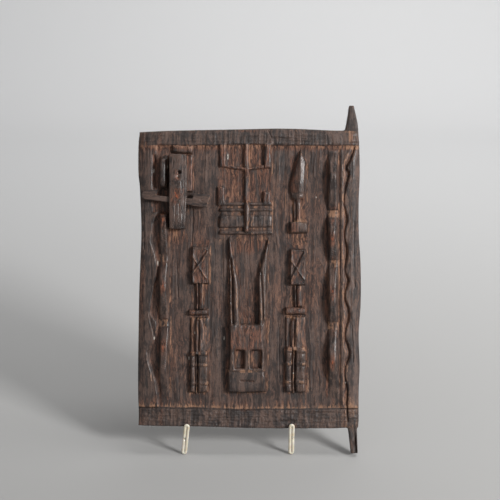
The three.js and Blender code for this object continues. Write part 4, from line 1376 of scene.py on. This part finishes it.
@dataclass(frozen=True)
class WoodFinish:
    """Old carved wood: a dark patina over reddish brown, worn, dusty and open in the grain."""

    name: str
    grain: Grain = Grain.UP
    turn: float = 0.0
    patina: Colour = (0.030, 0.021, 0.0185)
    brown: Colour = (0.116, 0.072, 0.056)
    ruddy_dark: Colour = (0.034, 0.014, 0.009)
    ruddy: Colour = (0.215, 0.092, 0.056)
    tan: Colour = (0.34, 0.185, 0.112)
    ember: Colour = (0.46, 0.110, 0.036)
    pale: Colour = (0.62, 0.56, 0.49)
    # near black, for the open pores and for painted shade
    pore_and_shade_dark: Colour = (0.010, 0.006, 0.005)
    dry: Colour = (0.120, 0.088, 0.072)
    rough: float = 0.60
    bump: float = 0.00022

    def material(self, lean: float) -> bpy.types.Material:
        """Makes the material.

        Args:
            lean: how far the grain leans back from upright.

        Returns:
            The material.
        """
        n = Nodes(self.name)
        place = n.add("ShaderNodeTexCoord", {}, "Object")
        place = n.add("ShaderNodeMapping", {
            "Vector": place, "Rotation": (lean, self.turn, 0.0), "Scale": (1000.0, 1000.0, 1000.0),
        })
        long = (1.0, 1.0, 0.11) if self.grain is Grain.UP else (0.11, 1.0, 1.0)
        longer = (1.0, 1.0, 0.03) if self.grain is Grain.UP else (0.03, 1.0, 1.0)
        short = (1.0, 1.0, 0.2) if self.grain is Grain.UP else (0.2, 1.0, 1.0)
        wander = n.noise(place, 0.03, 2.0)
        shifted = n.add("ShaderNodeVectorMath", {0: place, 1: n.maths("MULTIPLY", wander, 14.0)}, operation="ADD")
        fibre = n.noise(n.stretched(shifted, long), 0.62, 5.0, 0.72)
        thread = n.noise(n.stretched(shifted, longer), 0.30, 4.0, 0.6)
        pore = n.noise(n.stretched(shifted, short), 1.5, 3.0, 0.6)
        mottle = n.noise(place, 0.085, 4.0, 0.6)
        speck = n.noise(place, 0.9, 4.0, 0.65)
        colour = self.colour(n, fibre, thread, pore, mottle, speck)
        rough = self.roughness(n, fibre, speck)
        shader = n.add("ShaderNodeBsdfPrincipled", {
            "Base Color": colour, "Roughness": rough, "Normal": self.relief(n, fibre, thread, pore, speck),
            "Specular IOR Level": 0.5,
        })
        n.plug(n.output.inputs["Surface"], shader)
        return n.material

    def colour(self, n: Nodes, fibre: object, thread: object, pore: object, mottle: object,
               speck: object) -> bpy.types.NodeSocket:
        """Lays the colours over each other: patina, hollows, rubbed places, chips and painted highlights, dark pores
        and painted shade.
        """
        tone = n.maths("ADD", n.maths("MULTIPLY", fibre, 0.5), n.maths("MULTIPLY", mottle, 0.5))
        tone = n.ramp(n.maths("ADD", tone, n.maths("MULTIPLY", n.maths("SUBTRACT", thread, 0.5), 0.7)), 0.40, 0.62)
        colour = n.mixed(tone, self.patina, self.brown)
        plain = n.maths("SUBTRACT", 1.0, n.tint(Tint.CARVED))
        dry = n.maths("MULTIPLY", plain, n.ramp(mottle, 0.3, 0.7))
        colour = n.mixed(n.maths("MULTIPLY", dry, 0.7), colour, self.dry)
        red = n.mixed(n.ramp(fibre, 0.41, 0.60), self.ruddy_dark, self.ruddy)
        colour = n.mixed(n.maths("MULTIPLY", self.broken(n, Tint.RUDDY, speck, 0.9, 0.15, 0.9), 0.9), colour, red)
        colour = n.mixed(n.maths("MULTIPLY", self.broken(n, Tint.TAN, fibre, 1.9, 0.34, 0.95), 0.9), colour, self.tan)
        colour = n.mixed(self.broken(n, Tint.EMBER, speck, 1.6, 0.35, 1.1), colour, self.ember)
        colour = n.mixed(self.broken(n, Tint.PALE, speck, 1.2, 0.3, 1.0), colour, self.pale)
        holes = n.maths("MULTIPLY", n.ramp(pore, 0.55, 0.66), 0.7)
        colour = n.mixed(holes, colour, self.pore_and_shade_dark)
        # painted shade: the shade tint darkens corners, grooves, cracks and holes to near black
        return n.mixed(n.maths("MULTIPLY", n.tint(Tint.SHADE), 0.8, clamp=True), colour, self.pore_and_shade_dark)

    @staticmethod
    def broken(n: Nodes, tint: Tint, noise: object, rough: float, low: float, high: float) -> bpy.types.NodeSocket:
        """Where a tint shows: its stored amount, broken up by a noise.

        Args:
            n: the material's nodes.
            tint: the tint.
            noise: the noise that breaks it up, about a half.
            rough: how much the noise counts.
            low: the amount below which nothing shows.
            high: the amount above which the tint shows in full.

        Returns:
            The share of the tint's colour.
        """
        stored = n.tint(tint)
        swing = n.maths("MULTIPLY", n.maths("SUBTRACT", noise, 0.5), rough)
        amount = n.maths("ADD", stored, n.maths("MULTIPLY", swing, n.ramp(stored, 0.0, 0.15)))
        return n.ramp(amount, low, high)

    def roughness(self, n: Nodes, fibre: object, speck: object) -> bpy.types.NodeSocket:
        """Satin on the patina, duller in hollows and on rubbed places."""
        rough = n.maths("ADD", self.rough, n.maths("MULTIPLY", n.maths("SUBTRACT", fibre, 0.5), 0.35))
        rough = n.maths("SUBTRACT", rough, n.maths("MULTIPLY", n.tint(Tint.SHEEN), 0.28))
        rough = n.maths("ADD", rough, n.maths("MULTIPLY", n.tint(Tint.TAN), 0.15))
        rough = n.maths("ADD", rough, n.maths("MULTIPLY", n.tint(Tint.RUDDY), 0.1))
        return n.maths("MINIMUM", n.maths("MAXIMUM", rough, 0.3), 0.92)

    def relief(self, n: Nodes, fibre: object, thread: object, pore: object, speck: object) -> bpy.types.NodeSocket:
        """Open grain and pores, finer than the mesh holds."""
        height = n.maths("ADD", fibre, n.maths("MULTIPLY", thread, 0.5))
        height = n.maths("SUBTRACT", height, n.maths("MULTIPLY", n.ramp(pore, 0.52, 0.72), 0.5))
        height = n.maths("ADD", height, n.maths("MULTIPLY", speck, 0.25))
        return n.add("ShaderNodeBump", {"Strength": 1.0, "Distance": self.bump, "Height": height})


@dataclass(frozen=True)
class CoatedWire:
    """Ivory plastic over wire, slightly yellowed and grubby."""

    name: str = "ivory_coated_wire"
    ivory: Colour = (0.80, 0.745, 0.63)
    yellowed: Colour = (0.66, 0.56, 0.38)
    grub: Colour = (0.30, 0.25, 0.19)

    def material(self) -> bpy.types.Material:
        """Makes the material."""
        n = Nodes(self.name)
        place = n.add("ShaderNodeTexCoord", {}, "Object")
        cloud = n.noise(place, 140.0, 4.0, 0.6)
        fine = n.noise(place, 900.0, 3.0, 0.6)
        colour = n.mixed(n.ramp(cloud, 0.35, 0.75), self.ivory, self.yellowed)
        colour = n.mixed(n.maths("MULTIPLY", n.ramp(fine, 0.62, 0.8), 0.5), colour, self.grub)
        rough = n.maths("ADD", 0.34, n.maths("MULTIPLY", cloud, 0.2))
        bump = n.add("ShaderNodeBump", {"Strength": 0.5, "Distance": 0.00015, "Height": cloud})
        shader = n.add("ShaderNodeBsdfPrincipled", {
            "Base Color": colour, "Roughness": rough, "Normal": bump, "Subsurface Weight": 0.08,
            "Subsurface Scale": 0.002, "Coat Weight": 0.15,
        })
        n.plug(n.output.inputs["Surface"], shader)
        return n.material


# The pieces


FIGURE_LEFT = StandingFigure(
    box=(-61.2, -42.6, 153, 193.2), thick=((-43.2, 187.4), (-61.2, 163.4)), thin=((-60.4, 183.6), (-45.5, 159.8)),
    neck=(-56.4, -47.2, 126, 154), neck_gap=-53.6, shoulder=(-64.5, -43.1, 120.2, 126.2),
    flanks=(-62.4, -42.4, 79, 118), middle=-52.0, legs=((-63.0, -56.8), (-54.6, -43.1)),
    rings=(79.0, 67.2, 48.4), hips=(-62.4, -43.4),
)
FIGURE_RIGHT = StandingFigure(
    box=(43.0, 60.8, 151.8, 190.6), thick=((59.4, 187.0), (43.6, 156.6)), thin=((43.2, 179.5), (59.0, 157.6)),
    neck=(47.6, 57.0, 129, 152), neck_gap=50.0, shoulder=(37.8, 60.2, 120.7, 129.2),
    flanks=(38.4, 60.0, 84, 119), middle=49.2, legs=((38.6, 45.9), (49.0, 60.2)),
    rings=(82.5, 69.0, 49.6), hips=(39.4, 60.0),
)
RIDGE_RIGHT = Zigzag(
    left=83.5, right=95.0, bevel=2.0,
    crest=((30, 0.8), (44, 4.0), (72, 10), (107, 5), (136, 11), (173.5, 5), (206.5, 11), (230, 5), (268, 10.5), (297, 3)),
    peaks=(71.4, 144.8, 201.3), valleys=(109.0, 175.0, 228.0),
)
RIDGE_LEFT = Zigzag(
    left=-95.5, right=-84.5, bevel=1.8,
    crest=((30, 0.8), (44, 4.5), (62, 8), (86, 8), (112, 4.5), (150, 9.5), (181, 4.5), (219, 9), (231, 7)),
    peaks=(86.8, 150.2, 222.0), valleys=(112.0, 181.0),
)
RIDGE_WING = Zigzag(
    left=-95.0, right=-86.0, bevel=1.6, crest=((252.5, 6), (262, 9.5), (280, 9.5), (291, 5)),
    peaks=(), valleys=(),
)


@dataclass
class CarvedBoard:
    """The board of the door, carved from one piece of wood with its two pivot pegs."""

    axes: BoardAxes
    finish: WoodFinish
    triangles: int = 180000
    left_side: tuple[Point, ...] = (
        (-118, 3), (-117.6, 15), (-118.4, 40), (-118.2, 80), (-117.2, 142), (-116, 175), (-114.8, 211),
        (-116.3, 253), (-118, 272), (-118, 300), (-116.8, 313),
    )
    top_side: tuple[Point, ...] = (
        (-114, 315.4), (-77, 316.8), (-9, 318.2), (30, 319), (60, 318.3), (85, 317.1), (103, 317.2),
    )
    right_side: tuple[Point, ...] = (
        (116.6, 314), (117.6, 302), (118.1, 270), (117, 240), (117.2, 205), (119, 176), (119.2, 134),
        (117, 100), (118, 66), (117, 40), (117, 6),
    )
    bottom_side: tuple[Point, ...] = ((101, -0.3), (34, -0.2), (-10, 0.3), (-43, 1.4), (-111, 2.5))
    upper_peg: Peg = Peg((
        Section(304.0, 101.0, 117.6, 1.6, 17.5),
        Section(317.5, 102.0, 117.0, 2.4, 17.0),
        Section(323.8, 103.5, 116.3, 2.8, 16.6),
        Section(332.3, 105.1, 114.6, 3.8, 15.4),
        Section(340.8, 106.2, 112.5, 4.6, 14.2),
        Section(343.4, 106.8, 112.0, 5.0, 13.8),
    ), seed=21)
    lower_peg: Peg = Peg((
        Section(-26.5, 108.2, 115.8, 10.0, 17.9),
        Section(-15.0, 107.0, 115.6, 7.0, 17.8),
        Section(-6.4, 106.0, 115.4, 5.0, 17.8),
        Section(-1.0, 105.2, 115.3, 3.6, 17.6),
        Section(10.0, 104.8, 116.6, 2.0, 17.5),
    ), seed=22, split=((114.0, -25.6), (111.6, 10.6)))

    def outline(self) -> Outline:
        """The board's outline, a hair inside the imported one."""
        inset = 0.15
        left, right = along_v(list(self.left_side)), along_v(list(self.right_side))
        top = along_u(list(self.top_side) + [(116.6, 316.4)])
        bottom = along_u(list(self.bottom_side) + [(-117.8, 2.9)])
        return Outline(
            lambda v: left(v) + inset, lambda v: right(v) - inset,
            lambda u: bottom(u) + inset, lambda u: top(u) - inset,
        )

    def relief(self) -> Relief:
        """Carves the face."""
        relief = Relief(-122.0, 122.4, -4.0, 324.0, 0.4, GROUND, Grain.UP, seed=11)
        relief.prepare()
        motifs = (
            Margins(), RIDGE_RIGHT, RIDGE_LEFT, RIDGE_WING, CrossFigure(), HornedMask(), FIGURE_LEFT,
            FIGURE_RIGHT, PointedCap(), LockBed(), Mishaps(),
        )
        for motif in motifs:
            motif.carve(relief)
        relief.weather(fibres=0.11, facets=0.11)
        LockBed().open_bolt_way(relief)
        return relief

    def back_level(self, relief: Relief) -> Callable[[Array, Array], Array]:
        """The back, hewn in long shallow strokes and left with open grain."""
        strokes = relief.noise(9.0, 28.0)
        ripples = relief.noise(1.6, 24.0)
        fine = relief.noise(0.5, 9.0)
        level = np.clip(0.62 + 0.26 * strokes + 0.10 * ripples + 0.05 * fine, 0.04, 2.0)
        return lambda u, v: relief.at(level, u, v)

    def build(self) -> bpy.types.Object:
        """Makes the board with its pegs and gives it its finish.

        Returns:
            The piece.
        """
        relief = self.relief()
        slab = Slab(self.outline(), lambda u, v: relief.at(relief.height, u, v), self.back_level(relief),
                    columns=480, rows=500, rings=11, front_arris=1.2, back_arris=1.1, roughness=0.5)
        points, faces = slab.build()
        board = mesh_object("carved_board", self.axes.room(points), faces)
        thin_out(board, self.triangles)
        for name, peg in (("upper_peg", self.upper_peg), ("lower_peg", self.lower_peg)):
            self.join(board, name, peg)
        self.soften_roots(board)
        self.dress(board, relief)
        return board

    def join(self, board: bpy.types.Object, name: str, peg: Peg) -> None:
        """Joins a peg to the board as one solid."""
        points, faces = peg.build()
        part = mesh_object(name, self.axes.room(points), faces)
        union = board.modifiers.new(name, "BOOLEAN")
        union.operation, union.solver, union.object = "UNION", "MANIFOLD", part
        settle(board)
        bpy.data.objects.remove(part)

    def soften_roots(self, board: bpy.types.Object) -> None:
        """Blends the roots of the pegs into the ends of the board."""
        door = self.axes.door(corners_of(board))
        edges = np.empty(len(board.data.edges) * 2, np.int32)
        board.data.edges.foreach_get("vertices", edges)
        a, b = edges.reshape(-1, 2).T
        u, v = door[:, 0], door[:, 1]
        near_top = bell(np.hypot((u - 106.5) / 1.6, v - 315.5), 9.0)
        near_foot = bell(np.hypot((u - 109.0) / 1.6, v + 1.0), 8.0)
        share = np.clip(1.2 * np.maximum(near_top, near_foot), 0.0, 0.9)[:, None]
        count = np.bincount(a, minlength=len(door)) + np.bincount(b, minlength=len(door))
        for _ in range(12):
            mean = np.zeros_like(door)
            for axis in range(3):
                mean[:, axis] = (
                    np.bincount(a, door[b, axis], len(door)) + np.bincount(b, door[a, axis], len(door))
                ) / np.maximum(count, 1)
            door = door + (mean - door) * share
        room = self.axes.room(door) * MM
        board.data.vertices.foreach_set("co", room.astype(np.float32).ravel())
        board.data.update()

    def dress(self, board: bpy.types.Object, relief: Relief) -> None:
        """Stores the tints on the mesh and gives the board its material."""
        door = self.axes.door(corners_of(board))
        u, v, d = door.T
        outline = self.outline()
        inner = ease(0.0, 1.2, outline.inside(u, v))
        carved = ease(9.0, 13.5, d) * np.maximum(inner, 0.35)
        peg = ease(317.5, 321.0, v) + ease(-0.5, -3.0, v)
        for tint in Tint:
            values = relief.at(relief.tints[tint], u, v) * carved * (1.0 - peg)
            if tint is Tint.SHEEN:
                values = np.maximum(values, 0.5 * peg)
            if tint is Tint.CARVED:
                values = np.maximum(carved, peg * 0.8)
            # painted shade in the split of the lower peg
            if tint is Tint.SHADE:
                (low_u, low_v), (high_u, high_v) = self.lower_peg.split
                line = np.interp(v, [low_v, high_v], [low_u, high_u])
                split = bell(u - line, 1.0) * ease(10.0, 14.0, d) * ease(12.0, 9.0, v)
                values = np.maximum(values, split)
            set_tint(board, tint, values)
        finish_piece(board, self.finish.material(self.axes.lean))
        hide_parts("door_panel")
        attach(board, "door")


@dataclass
class LockBlock:
    """The upright block of the lock, fixed over the bolt."""

    axes: BoardAxes
    finish: WoodFinish
    left: float = -84.4
    right: float = -65.6
    foot: float = 211.6
    head: float = 290.8
    taper: float = 1.4
    level: float = GROUND + 14.0
    hole: tuple[float, float, float] = (-73.4, 271.4, 1.6)

    def outline(self) -> Outline:
        """Slightly narrower at the foot, with uneven ends."""
        side = along_v([(self.right - self.taper - 0.3, self.foot), (self.right - 0.9, 232),
                        (self.right - 0.2, 252), (self.right - 0.1, 270), (self.right - 0.5, self.head)])
        other = along_v([(self.left + 0.5, self.foot), (self.left + 0.1, 236), (self.left + 0.3, 262),
                         (self.left + 0.1, self.head)])
        top = along_u([(self.left, self.head - 0.5), (-78, self.head - 0.1), (self.right, self.head - 0.6)])
        low = along_u([(self.left, self.foot + 0.9), (-77, self.foot + 0.1), (self.right, self.foot + 0.5)])
        return Outline(other, side, low, top)

    def relief(self) -> Relief:
        """Carves the face of the block."""
        relief = Relief(-87.0, -64.0, 209.0, 293.4, 0.25, self.level, Grain.UP, seed=31)
        relief.prepare()
        u, v = relief.cut_u, relief.cut_v
        relief.height -= 0.9 * ease(-76.0, -67.0, u) ** 2 + 0.5 * ease(-78.0, -84.0, u) ** 2
        relief.height -= 1.1 * ease(224.0, 212.0, v) ** 2 + 0.5 * ease(284.0, 291.0, v)
        relief.height -= 0.45 * bell(v - 244.0, 9.0)
        hole_u, hole_v, radius = self.hole
        away = np.hypot(relief.u - hole_u, relief.v - hole_v)
        relief.height -= 3.2 * ease(radius + 0.3, radius - 0.5, away)
        relief.height -= 0.7 * bell(np.hypot((relief.u + 75.4) / 1.1, (relief.v - 267.4) / 1.6), 2.2)
        for line in (((-70.4, 228), (-70.8, 214)), ((-77.8, 236), (-78.2, 216)), ((-74.0, 238), (-73.4, 220)),
                     ((-80.6, 288), (-80.0, 268)), ((-72.0, 262), (-71.6, 250))):
            relief.groove(list(line), 1.0, 0.35)
        relief.weather(fibres=0.075, facets=0.10)
        relief.tints[Tint.SHEEN][:] = 0.75
        for line, width, strength in (
            (((-78.4, 250.0), (-76.2, 246.0)), 2.6, 0.62), (((-76.6, 247.0), (-73.6, 241.0)), 3.6, 0.72),
            (((-78.8, 244.0), (-77.2, 239.0)), 1.8, 0.5), (((-72.4, 248.0), (-71.6, 243.5)), 1.8, 0.5),
            (((-75.0, 240.0), (-73.0, 235.0)), 2.2, 0.55),
        ):
            relief.tint_line(Tint.EMBER, list(line), width, strength)
        relief.tint_box(Tint.RUDDY, -82.0, -68.4, 236.0, 254.0, 0.9, 6.0)
        relief.tint_box(Tint.RUDDY, -79.0, -73.0, 262.0, 275.0, 0.7, 4.0)
        relief.tint_spot(Tint.EMBER, -76.4, 264.4, 1.6, 3.0, 0.45)
        relief.tint_spot(Tint.PALE, -75.3, 267.6, 1.0, 1.5, 0.8)
        # painted shade in the keyhole
        relief.tint_spot(Tint.SHADE, hole_u, hole_v, 1.8, 1.8, 1.2)
        # painted highlight: a tan and a pale line down the block's right edge, which faces the light
        relief.tint_line(Tint.TAN, [(-67.0, 290), (-67.0, 250)], 1.6, 1.0)
        relief.tint_line(Tint.PALE, [(-67.6, 244), (-68.2, 216)], 1.0, 0.3)
        return relief

    def back_level(self, u: Array, v: Array) -> Array:
        """The back, rebated over the pad and cut through for the bolt."""
        level = np.where(v > 235.7, GROUND + 3.8, GROUND + GAP)
        _, y = BoltAxes().along(u, v)
        return np.where((y > -6.0) & (y < 2.6), 26.65, level)

    def build(self) -> bpy.types.Object:
        """Makes the block and gives it its finish."""
        relief = self.relief()
        slab = Slab(self.outline(), lambda u, v: relief.at(relief.height, u, v), self.back_level,
                    columns=64, rows=230, rings=16, front_arris=0.9, back_arris=0.05, roughness=0.25, seed=6)
        points, faces = slab.build()
        block = mesh_object("lock_block_carved", self.axes.room(points), faces)
        door = self.axes.door(corners_of(block))
        carved = ease(17.0, 26.0, door[:, 2])
        for tint in Tint:
            values = relief.at(relief.tints[tint], door[:, 0], door[:, 1])
            if tint is Tint.CARVED:
                values = np.ones(len(door))
            set_tint(block, tint, values * (carved if tint is not Tint.CARVED else 1.0))
        finish_piece(block, self.finish.material(self.axes.lean))
        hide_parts("lock_block")
        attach(block, "door")
        return block


@dataclass
class SlidingBolt:
    """The flat bolt with its narrow waist, which slides across under the block."""

    axes: BoardAxes
    finish: WoodFinish
    low: float = FACE + 1.9
    thickness: float = 6.4
    left_end: float = -38.6
    right_end: float = 34.4
    waist: tuple[float, float] = (-22.0, 16.2)

    def outline(self) -> Outline:
        """A tapered tip on the left, a waist under the block and a head with a slanted end."""
        start, stop = self.waist

        def top(x: Array) -> Array:
            """The upper side."""
            return np.interp(x, [self.left_end, -36.9, -33.0, start - 0.2, start + 0.2, stop - 0.2, stop + 0.2, 34.4],
                             [2.2, 4.6, 6.6, 8.1, 2.1, 2.1, 8.0, 8.0])

        def bottom(x: Array) -> Array:
            """The lower side."""
            return np.interp(x, [self.left_end, -34.0, start, 0.0, stop - 0.2, stop + 0.2, 34.4],
                             [-0.8, -3.1, -3.5, -4.2, -5.0, -5.4, -5.5])

        return Outline(
            lambda y: self.left_end + 0.1 + 0.05 * np.abs(y - 1.5),
            lambda y: np.interp(y, [-5.7, 8.2], [self.right_end - 2.6, self.right_end - 0.1]),
            bottom, top,
        )

    def relief(self) -> Relief:
        """Carves the face of the bolt."""
        relief = Relief(-41.0, 37.0, -9.6, 10.4, 0.25, self.low + self.thickness - 0.1, Grain.ACROSS, seed=41)
        relief.prepare()
        relief.height -= 0.5 * ease(-24.0, -38.0, relief.u) + 0.3 * np.abs(relief.v / 7.0) ** 2
        for line in (((18.0, 3.0), (30.0, 2.4)), ((20.0, -2.0), (32.0, -2.6)), ((-36.0, 1.6), (-24.0, 2.4))):
            relief.groove(list(line), 0.9, 0.3)
        relief.groove([(24.0, 1.4), (26.0, 0.6)], 1.6, 0.5)
        relief.weather(fibres=0.07, facets=0.09)
        relief.tints[Tint.SHEEN][:] = 0.45
        relief.tint_line(Tint.TAN, [(33.6, 7.6), (32.4, 0.0), (31.4, -5.4)], 1.8, 1.0)
        relief.tint_line(Tint.PALE, [(33.2, 6.0), (32.0, -3.0)], 1.0, 0.25)
        relief.tint_line(Tint.TAN, [(-23.0, 5.6), (-22.6, 1.4)], 1.4, 0.7)
        return relief

    def build(self) -> bpy.types.Object:
        """Makes the bolt and gives it its finish."""
        relief = self.relief()
        slab = Slab(self.outline(), lambda u, v: relief.at(relief.height, u, v),
                    lambda u, v: np.full(u.shape, self.low + 0.05),
                    columns=240, rows=48, rings=10, front_arris=0.7, back_arris=0.4, roughness=0.2, seed=7)
        points, faces = slab.build()
        placed = self.axes.room(BoltAxes().door(points))
        bolt = mesh_object("sliding_bolt", placed, faces)
        for tint in Tint:
            values = relief.at(relief.tints[tint], points[:, 0], points[:, 1])
            set_tint(bolt, tint, np.ones(len(points)) if tint is Tint.CARVED else values)
        finish_piece(bolt, self.finish.material(self.axes.lean))
        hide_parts("lock_bolt")
        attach(bolt, "bolt")
        return bolt


@dataclass
class WireStand:
    """Two bent coated wires with hooks in front and legs behind, joined by two cross wires."""

    axes: BoardAxes
    finish: CoatedWire
    radius: float = 1.5
    pitch: float = 3.3
    tip: float = 35.5
    cut_end: float = 19.0
    ledge: float = 16.4
    ledge_rise: float = math.radians(15)
    edge_arris: float = 1.2
    rest_offset: float = 2.0
    rest_top: float = 165.0
    upper_bar: float = 120.0
    rear_y: float = 100.0
    rear_run: float = 12.0
    bar_height: float = 16.0

    def behind(self, u: float, up: float, offset: float) -> Array:
        """A place behind the board's back, in the room."""
        return self.axes.room(np.array([[u, up, -offset]]))[0]

    def arm(self, u: float, outward: float, tilt: float) -> Array:
        """The middle line of one bent wire.

        Args:
            u: where the hook stands across the board.
            outward: which side the ledge is on.
            tilt: how far the hook tilts sideways.

        Returns:
            Points along the wire.
        """
        shift_x, shift_y = self.axes.origin[0], self.axes.origin[1]
        front = self.behind(u, self.edge_arris, -FACE)[1] - GAP - self.radius
        up = np.array([math.sin(tilt), 0.0, math.cos(tilt)])
        across = np.array([outward * math.cos(tilt), 0.0, -outward * math.sin(tilt)])
        foot = np.array([u + shift_x, front, 0.0])

        def at(side: float, height: float) -> Array:
            """A place on one strand of the hook."""
            return foot + across * side * self.pitch / 2 + up * height

        ledge = at(1, self.ledge)
        rest = self.behind(ledge[0] - shift_x, 0.0, self.rest_offset)
        slope, lean = math.tan(self.ledge_rise), math.tan(self.axes.lean)
        reach = (rest[1] - ledge[1] + lean * (ledge[2] - rest[2])) / (1 - lean * slope)
        heel = ledge + np.array([0.0, reach, reach * slope])
        top = self.behind(ledge[0] - shift_x, self.rest_top, self.rest_offset)
        rear = np.array([ledge[0], self.rear_y + shift_y, self.radius])
        end = rear + np.array([0.0, self.rear_run, 0.0])
        hairpin = self.pitch / 2
        path = rounded_path([
            (at(1, self.cut_end), 0.0), (at(1, self.tip - self.radius), hairpin),
            (at(-1, self.tip - self.radius), hairpin), (at(-1, self.radius), hairpin),
            (at(1, self.radius), hairpin), (ledge, 3.5), (heel, 4.0), (top, 8.0), (rear, 6.0), (end, 0.0),
        ])
        return resampled(path, 2.5)

    def wire(self, name: str, path: Array, node: str, seed: int) -> bpy.types.Object:
        """Makes one wire and gives it its finish."""
        points, faces = tube(path, self.radius - 0.01, 24, seed)
        piece = mesh_object(name, points, faces)
        finish_piece(piece, self.material)
        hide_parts(node)
        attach(piece, "door")
        return piece

    def build(self) -> list[bpy.types.Object]:
        """Makes the four wires."""
        self.material = self.finish.material()
        left = self.arm(-69.5, -1.0, math.radians(6.2))
        right = self.arm(45.0, 1.0, math.radians(0.6))
        pieces = [
            self.wire("left_bent_wire", left, "stand_left_wire", 51),
            self.wire("right_bent_wire", right, "stand_right_wire", 52),
        ]
        low, high = left[-1][0] + self.radius + GAP, right[-1][0] - self.radius - GAP
        rest = self.behind(0.0, self.upper_bar, self.rest_offset)
        top = self.behind(0.0, self.rest_top, self.rest_offset)
        foot = np.array([0.0, self.rear_y + self.axes.origin[1], self.radius])
        leg = foot + (top - foot) * (self.bar_height - foot[2]) / (top[2] - foot[2])
        for name, node, middle, seed in (("upper_cross_wire", "stand_upper_bar", rest, 53),
                                         ("lower_cross_wire", "stand_lower_bar", leg, 54)):
            ends = np.array([[low, middle[1], middle[2]], [high, middle[1], middle[2]]])
            pieces.append(self.wire(name, resampled(ends, 2.5), node, seed))
        return pieces


@dataclass
class Studio:
    """The pale floor that sweeps up into a backdrop, the soft lights and the camera."""

    aim: tuple[float, float, float] = (0.0006, 0.0, 0.2092)
    distance: float = 1.256
    elevation: float = math.radians(18)
    lens: float = 85.0
    floor_grey: Colour = (0.43, 0.425, 0.415)
    wall_grey: Colour = (0.74, 0.74, 0.74)

    def camera(self) -> None:
        """Sets up the camera in front, looking slightly down."""
        data = bpy.data.cameras.new("camera")
        data.lens = self.lens
        data.sensor_width = 36.0
        camera = bpy.data.objects.new("camera", data)
        x, y, z = self.aim
        camera.location = (
            x, y - self.distance * math.cos(self.elevation), z + self.distance * math.sin(self.elevation),
        )
        camera.rotation_euler = (math.pi / 2 - self.elevation, 0.0, 0.0)
        bpy.context.scene.collection.objects.link(camera)
        bpy.context.scene.camera = camera

    def sweep(self) -> None:
        """Makes the floor and backdrop as one curved sheet, with painted light: its colour runs from a darker grey in
        front to a paler grey up the wall.
        """
        depth, radius, tall, half = 1.5, 0.7, 2.6, 4.0
        profile = [(-4.0, 0.0), (depth, 0.0)]
        for step in range(1, 25):
            turn = math.pi / 2 * step / 24
            profile.append((depth + radius * math.sin(turn), radius * (1 - math.cos(turn))))
        profile.append((depth + radius, tall))
        points = np.array([(x, y, z) for y, z in profile for x in (-half, half)]) / MM
        number = np.arange(len(points)).reshape(-1, 2)
        faces = np.stack([number[:-1, 0], number[:-1, 1], number[1:, 1], number[1:, 0]], 1)
        sheet = mesh_object("backdrop", points, faces)
        n = Nodes("pale_backdrop")
        place = n.add("ShaderNodeTexCoord", {}, "Object")
        parts = n.tree.nodes.new("ShaderNodeSeparateXYZ")
        n.plug(parts.inputs[0], place)
        # painted light: the sheet is greyer in front and paler towards and up the wall
        lift = n.ramp(parts.outputs["Y"], -0.4, 1.9)
        colour = n.mixed(lift, self.floor_grey, self.wall_grey)
        shader = n.add("ShaderNodeBsdfPrincipled", {"Base Color": colour, "Roughness": 0.9,
                                                    "Specular IOR Level": 0.1})
        n.plug(n.output.inputs["Surface"], shader)
        sheet.data.materials.append(n.material)
        sheet.data.polygons.foreach_set("use_smooth", np.ones(len(sheet.data.polygons), bool))

    @staticmethod
    def softbox(name: str, azimuth: float, elevation: float, distance: float, size: float,
                power: float, aim: tuple[float, float, float] = (0.0, 0.0, 0.17)) -> None:
        """Hangs a soft square light that faces the door or another place.

        Args:
            name: the name of the light.
            azimuth: degrees to the right of the camera's side.
            elevation: degrees over the floor.
            distance: how far off it hangs, in metres.
            size: its side, in metres.
            power: its power, in watts.
            aim: the place it faces.
        """
        data = bpy.data.lights.new(name, "AREA")
        data.energy, data.size, data.shape = power, size, "SQUARE"
        lamp = bpy.data.objects.new(name, data)
        a, e = math.radians(azimuth), math.radians(elevation)
        lamp.location = (
            aim[0] + distance * math.sin(a) * math.cos(e), aim[1] - distance * math.cos(a) * math.cos(e),
            aim[2] + distance * math.sin(e),
        )
        lamp.rotation_euler = (math.pi / 2 - e, 0.0, a)
        lamp.visible_camera = False
        bpy.context.scene.collection.objects.link(lamp)

    def build(self) -> None:
        """Sets up everything around the door."""
        self.camera()
        self.sweep()
        self.softbox("key", 50.0, 24.0, 2.2, 0.5, 43.0)
        self.softbox("back", 165.0, 45.0, 2.0, 1.4, 4.0)
        self.softbox("backdrop", 10.0, 40.0, 2.2, 1.2, 20.0, aim=(0.3, 2.0, 0.5))
        world = bpy.data.worlds.new("studio")
        world.use_nodes = True
        world.node_tree.nodes["Background"].inputs["Color"].default_value = (0.97, 0.98, 1.0, 1.0)
        world.node_tree.nodes["Background"].inputs["Strength"].default_value = 0.28
        bpy.context.scene.world = world
        bpy.context.scene.view_settings.view_transform = "Standard"


def main() -> None:
    """Builds the studio and the pieces in order."""
    logging.basicConfig(level=logging.INFO, format="%(name)s: %(message)s")
    axes = BoardAxes()
    Studio().build()
    pieces = [
        CarvedBoard(axes, WoodFinish("carved_board_wood")).build(),
        LockBlock(axes, WoodFinish("lock_block_wood", rough=0.52)).build(),
        SlidingBolt(axes, WoodFinish("sliding_bolt_wood", grain=Grain.ACROSS, rough=0.56)).build(),
        *WireStand(axes, CoatedWire()).build(),
    ]
    for piece in pieces:
        triangles = sum(len(p.vertices) - 2 for p in piece.data.polygons)
        log.info("%s: %d triangles", piece.name, triangles)


if __name__ == "__main__":
    main()
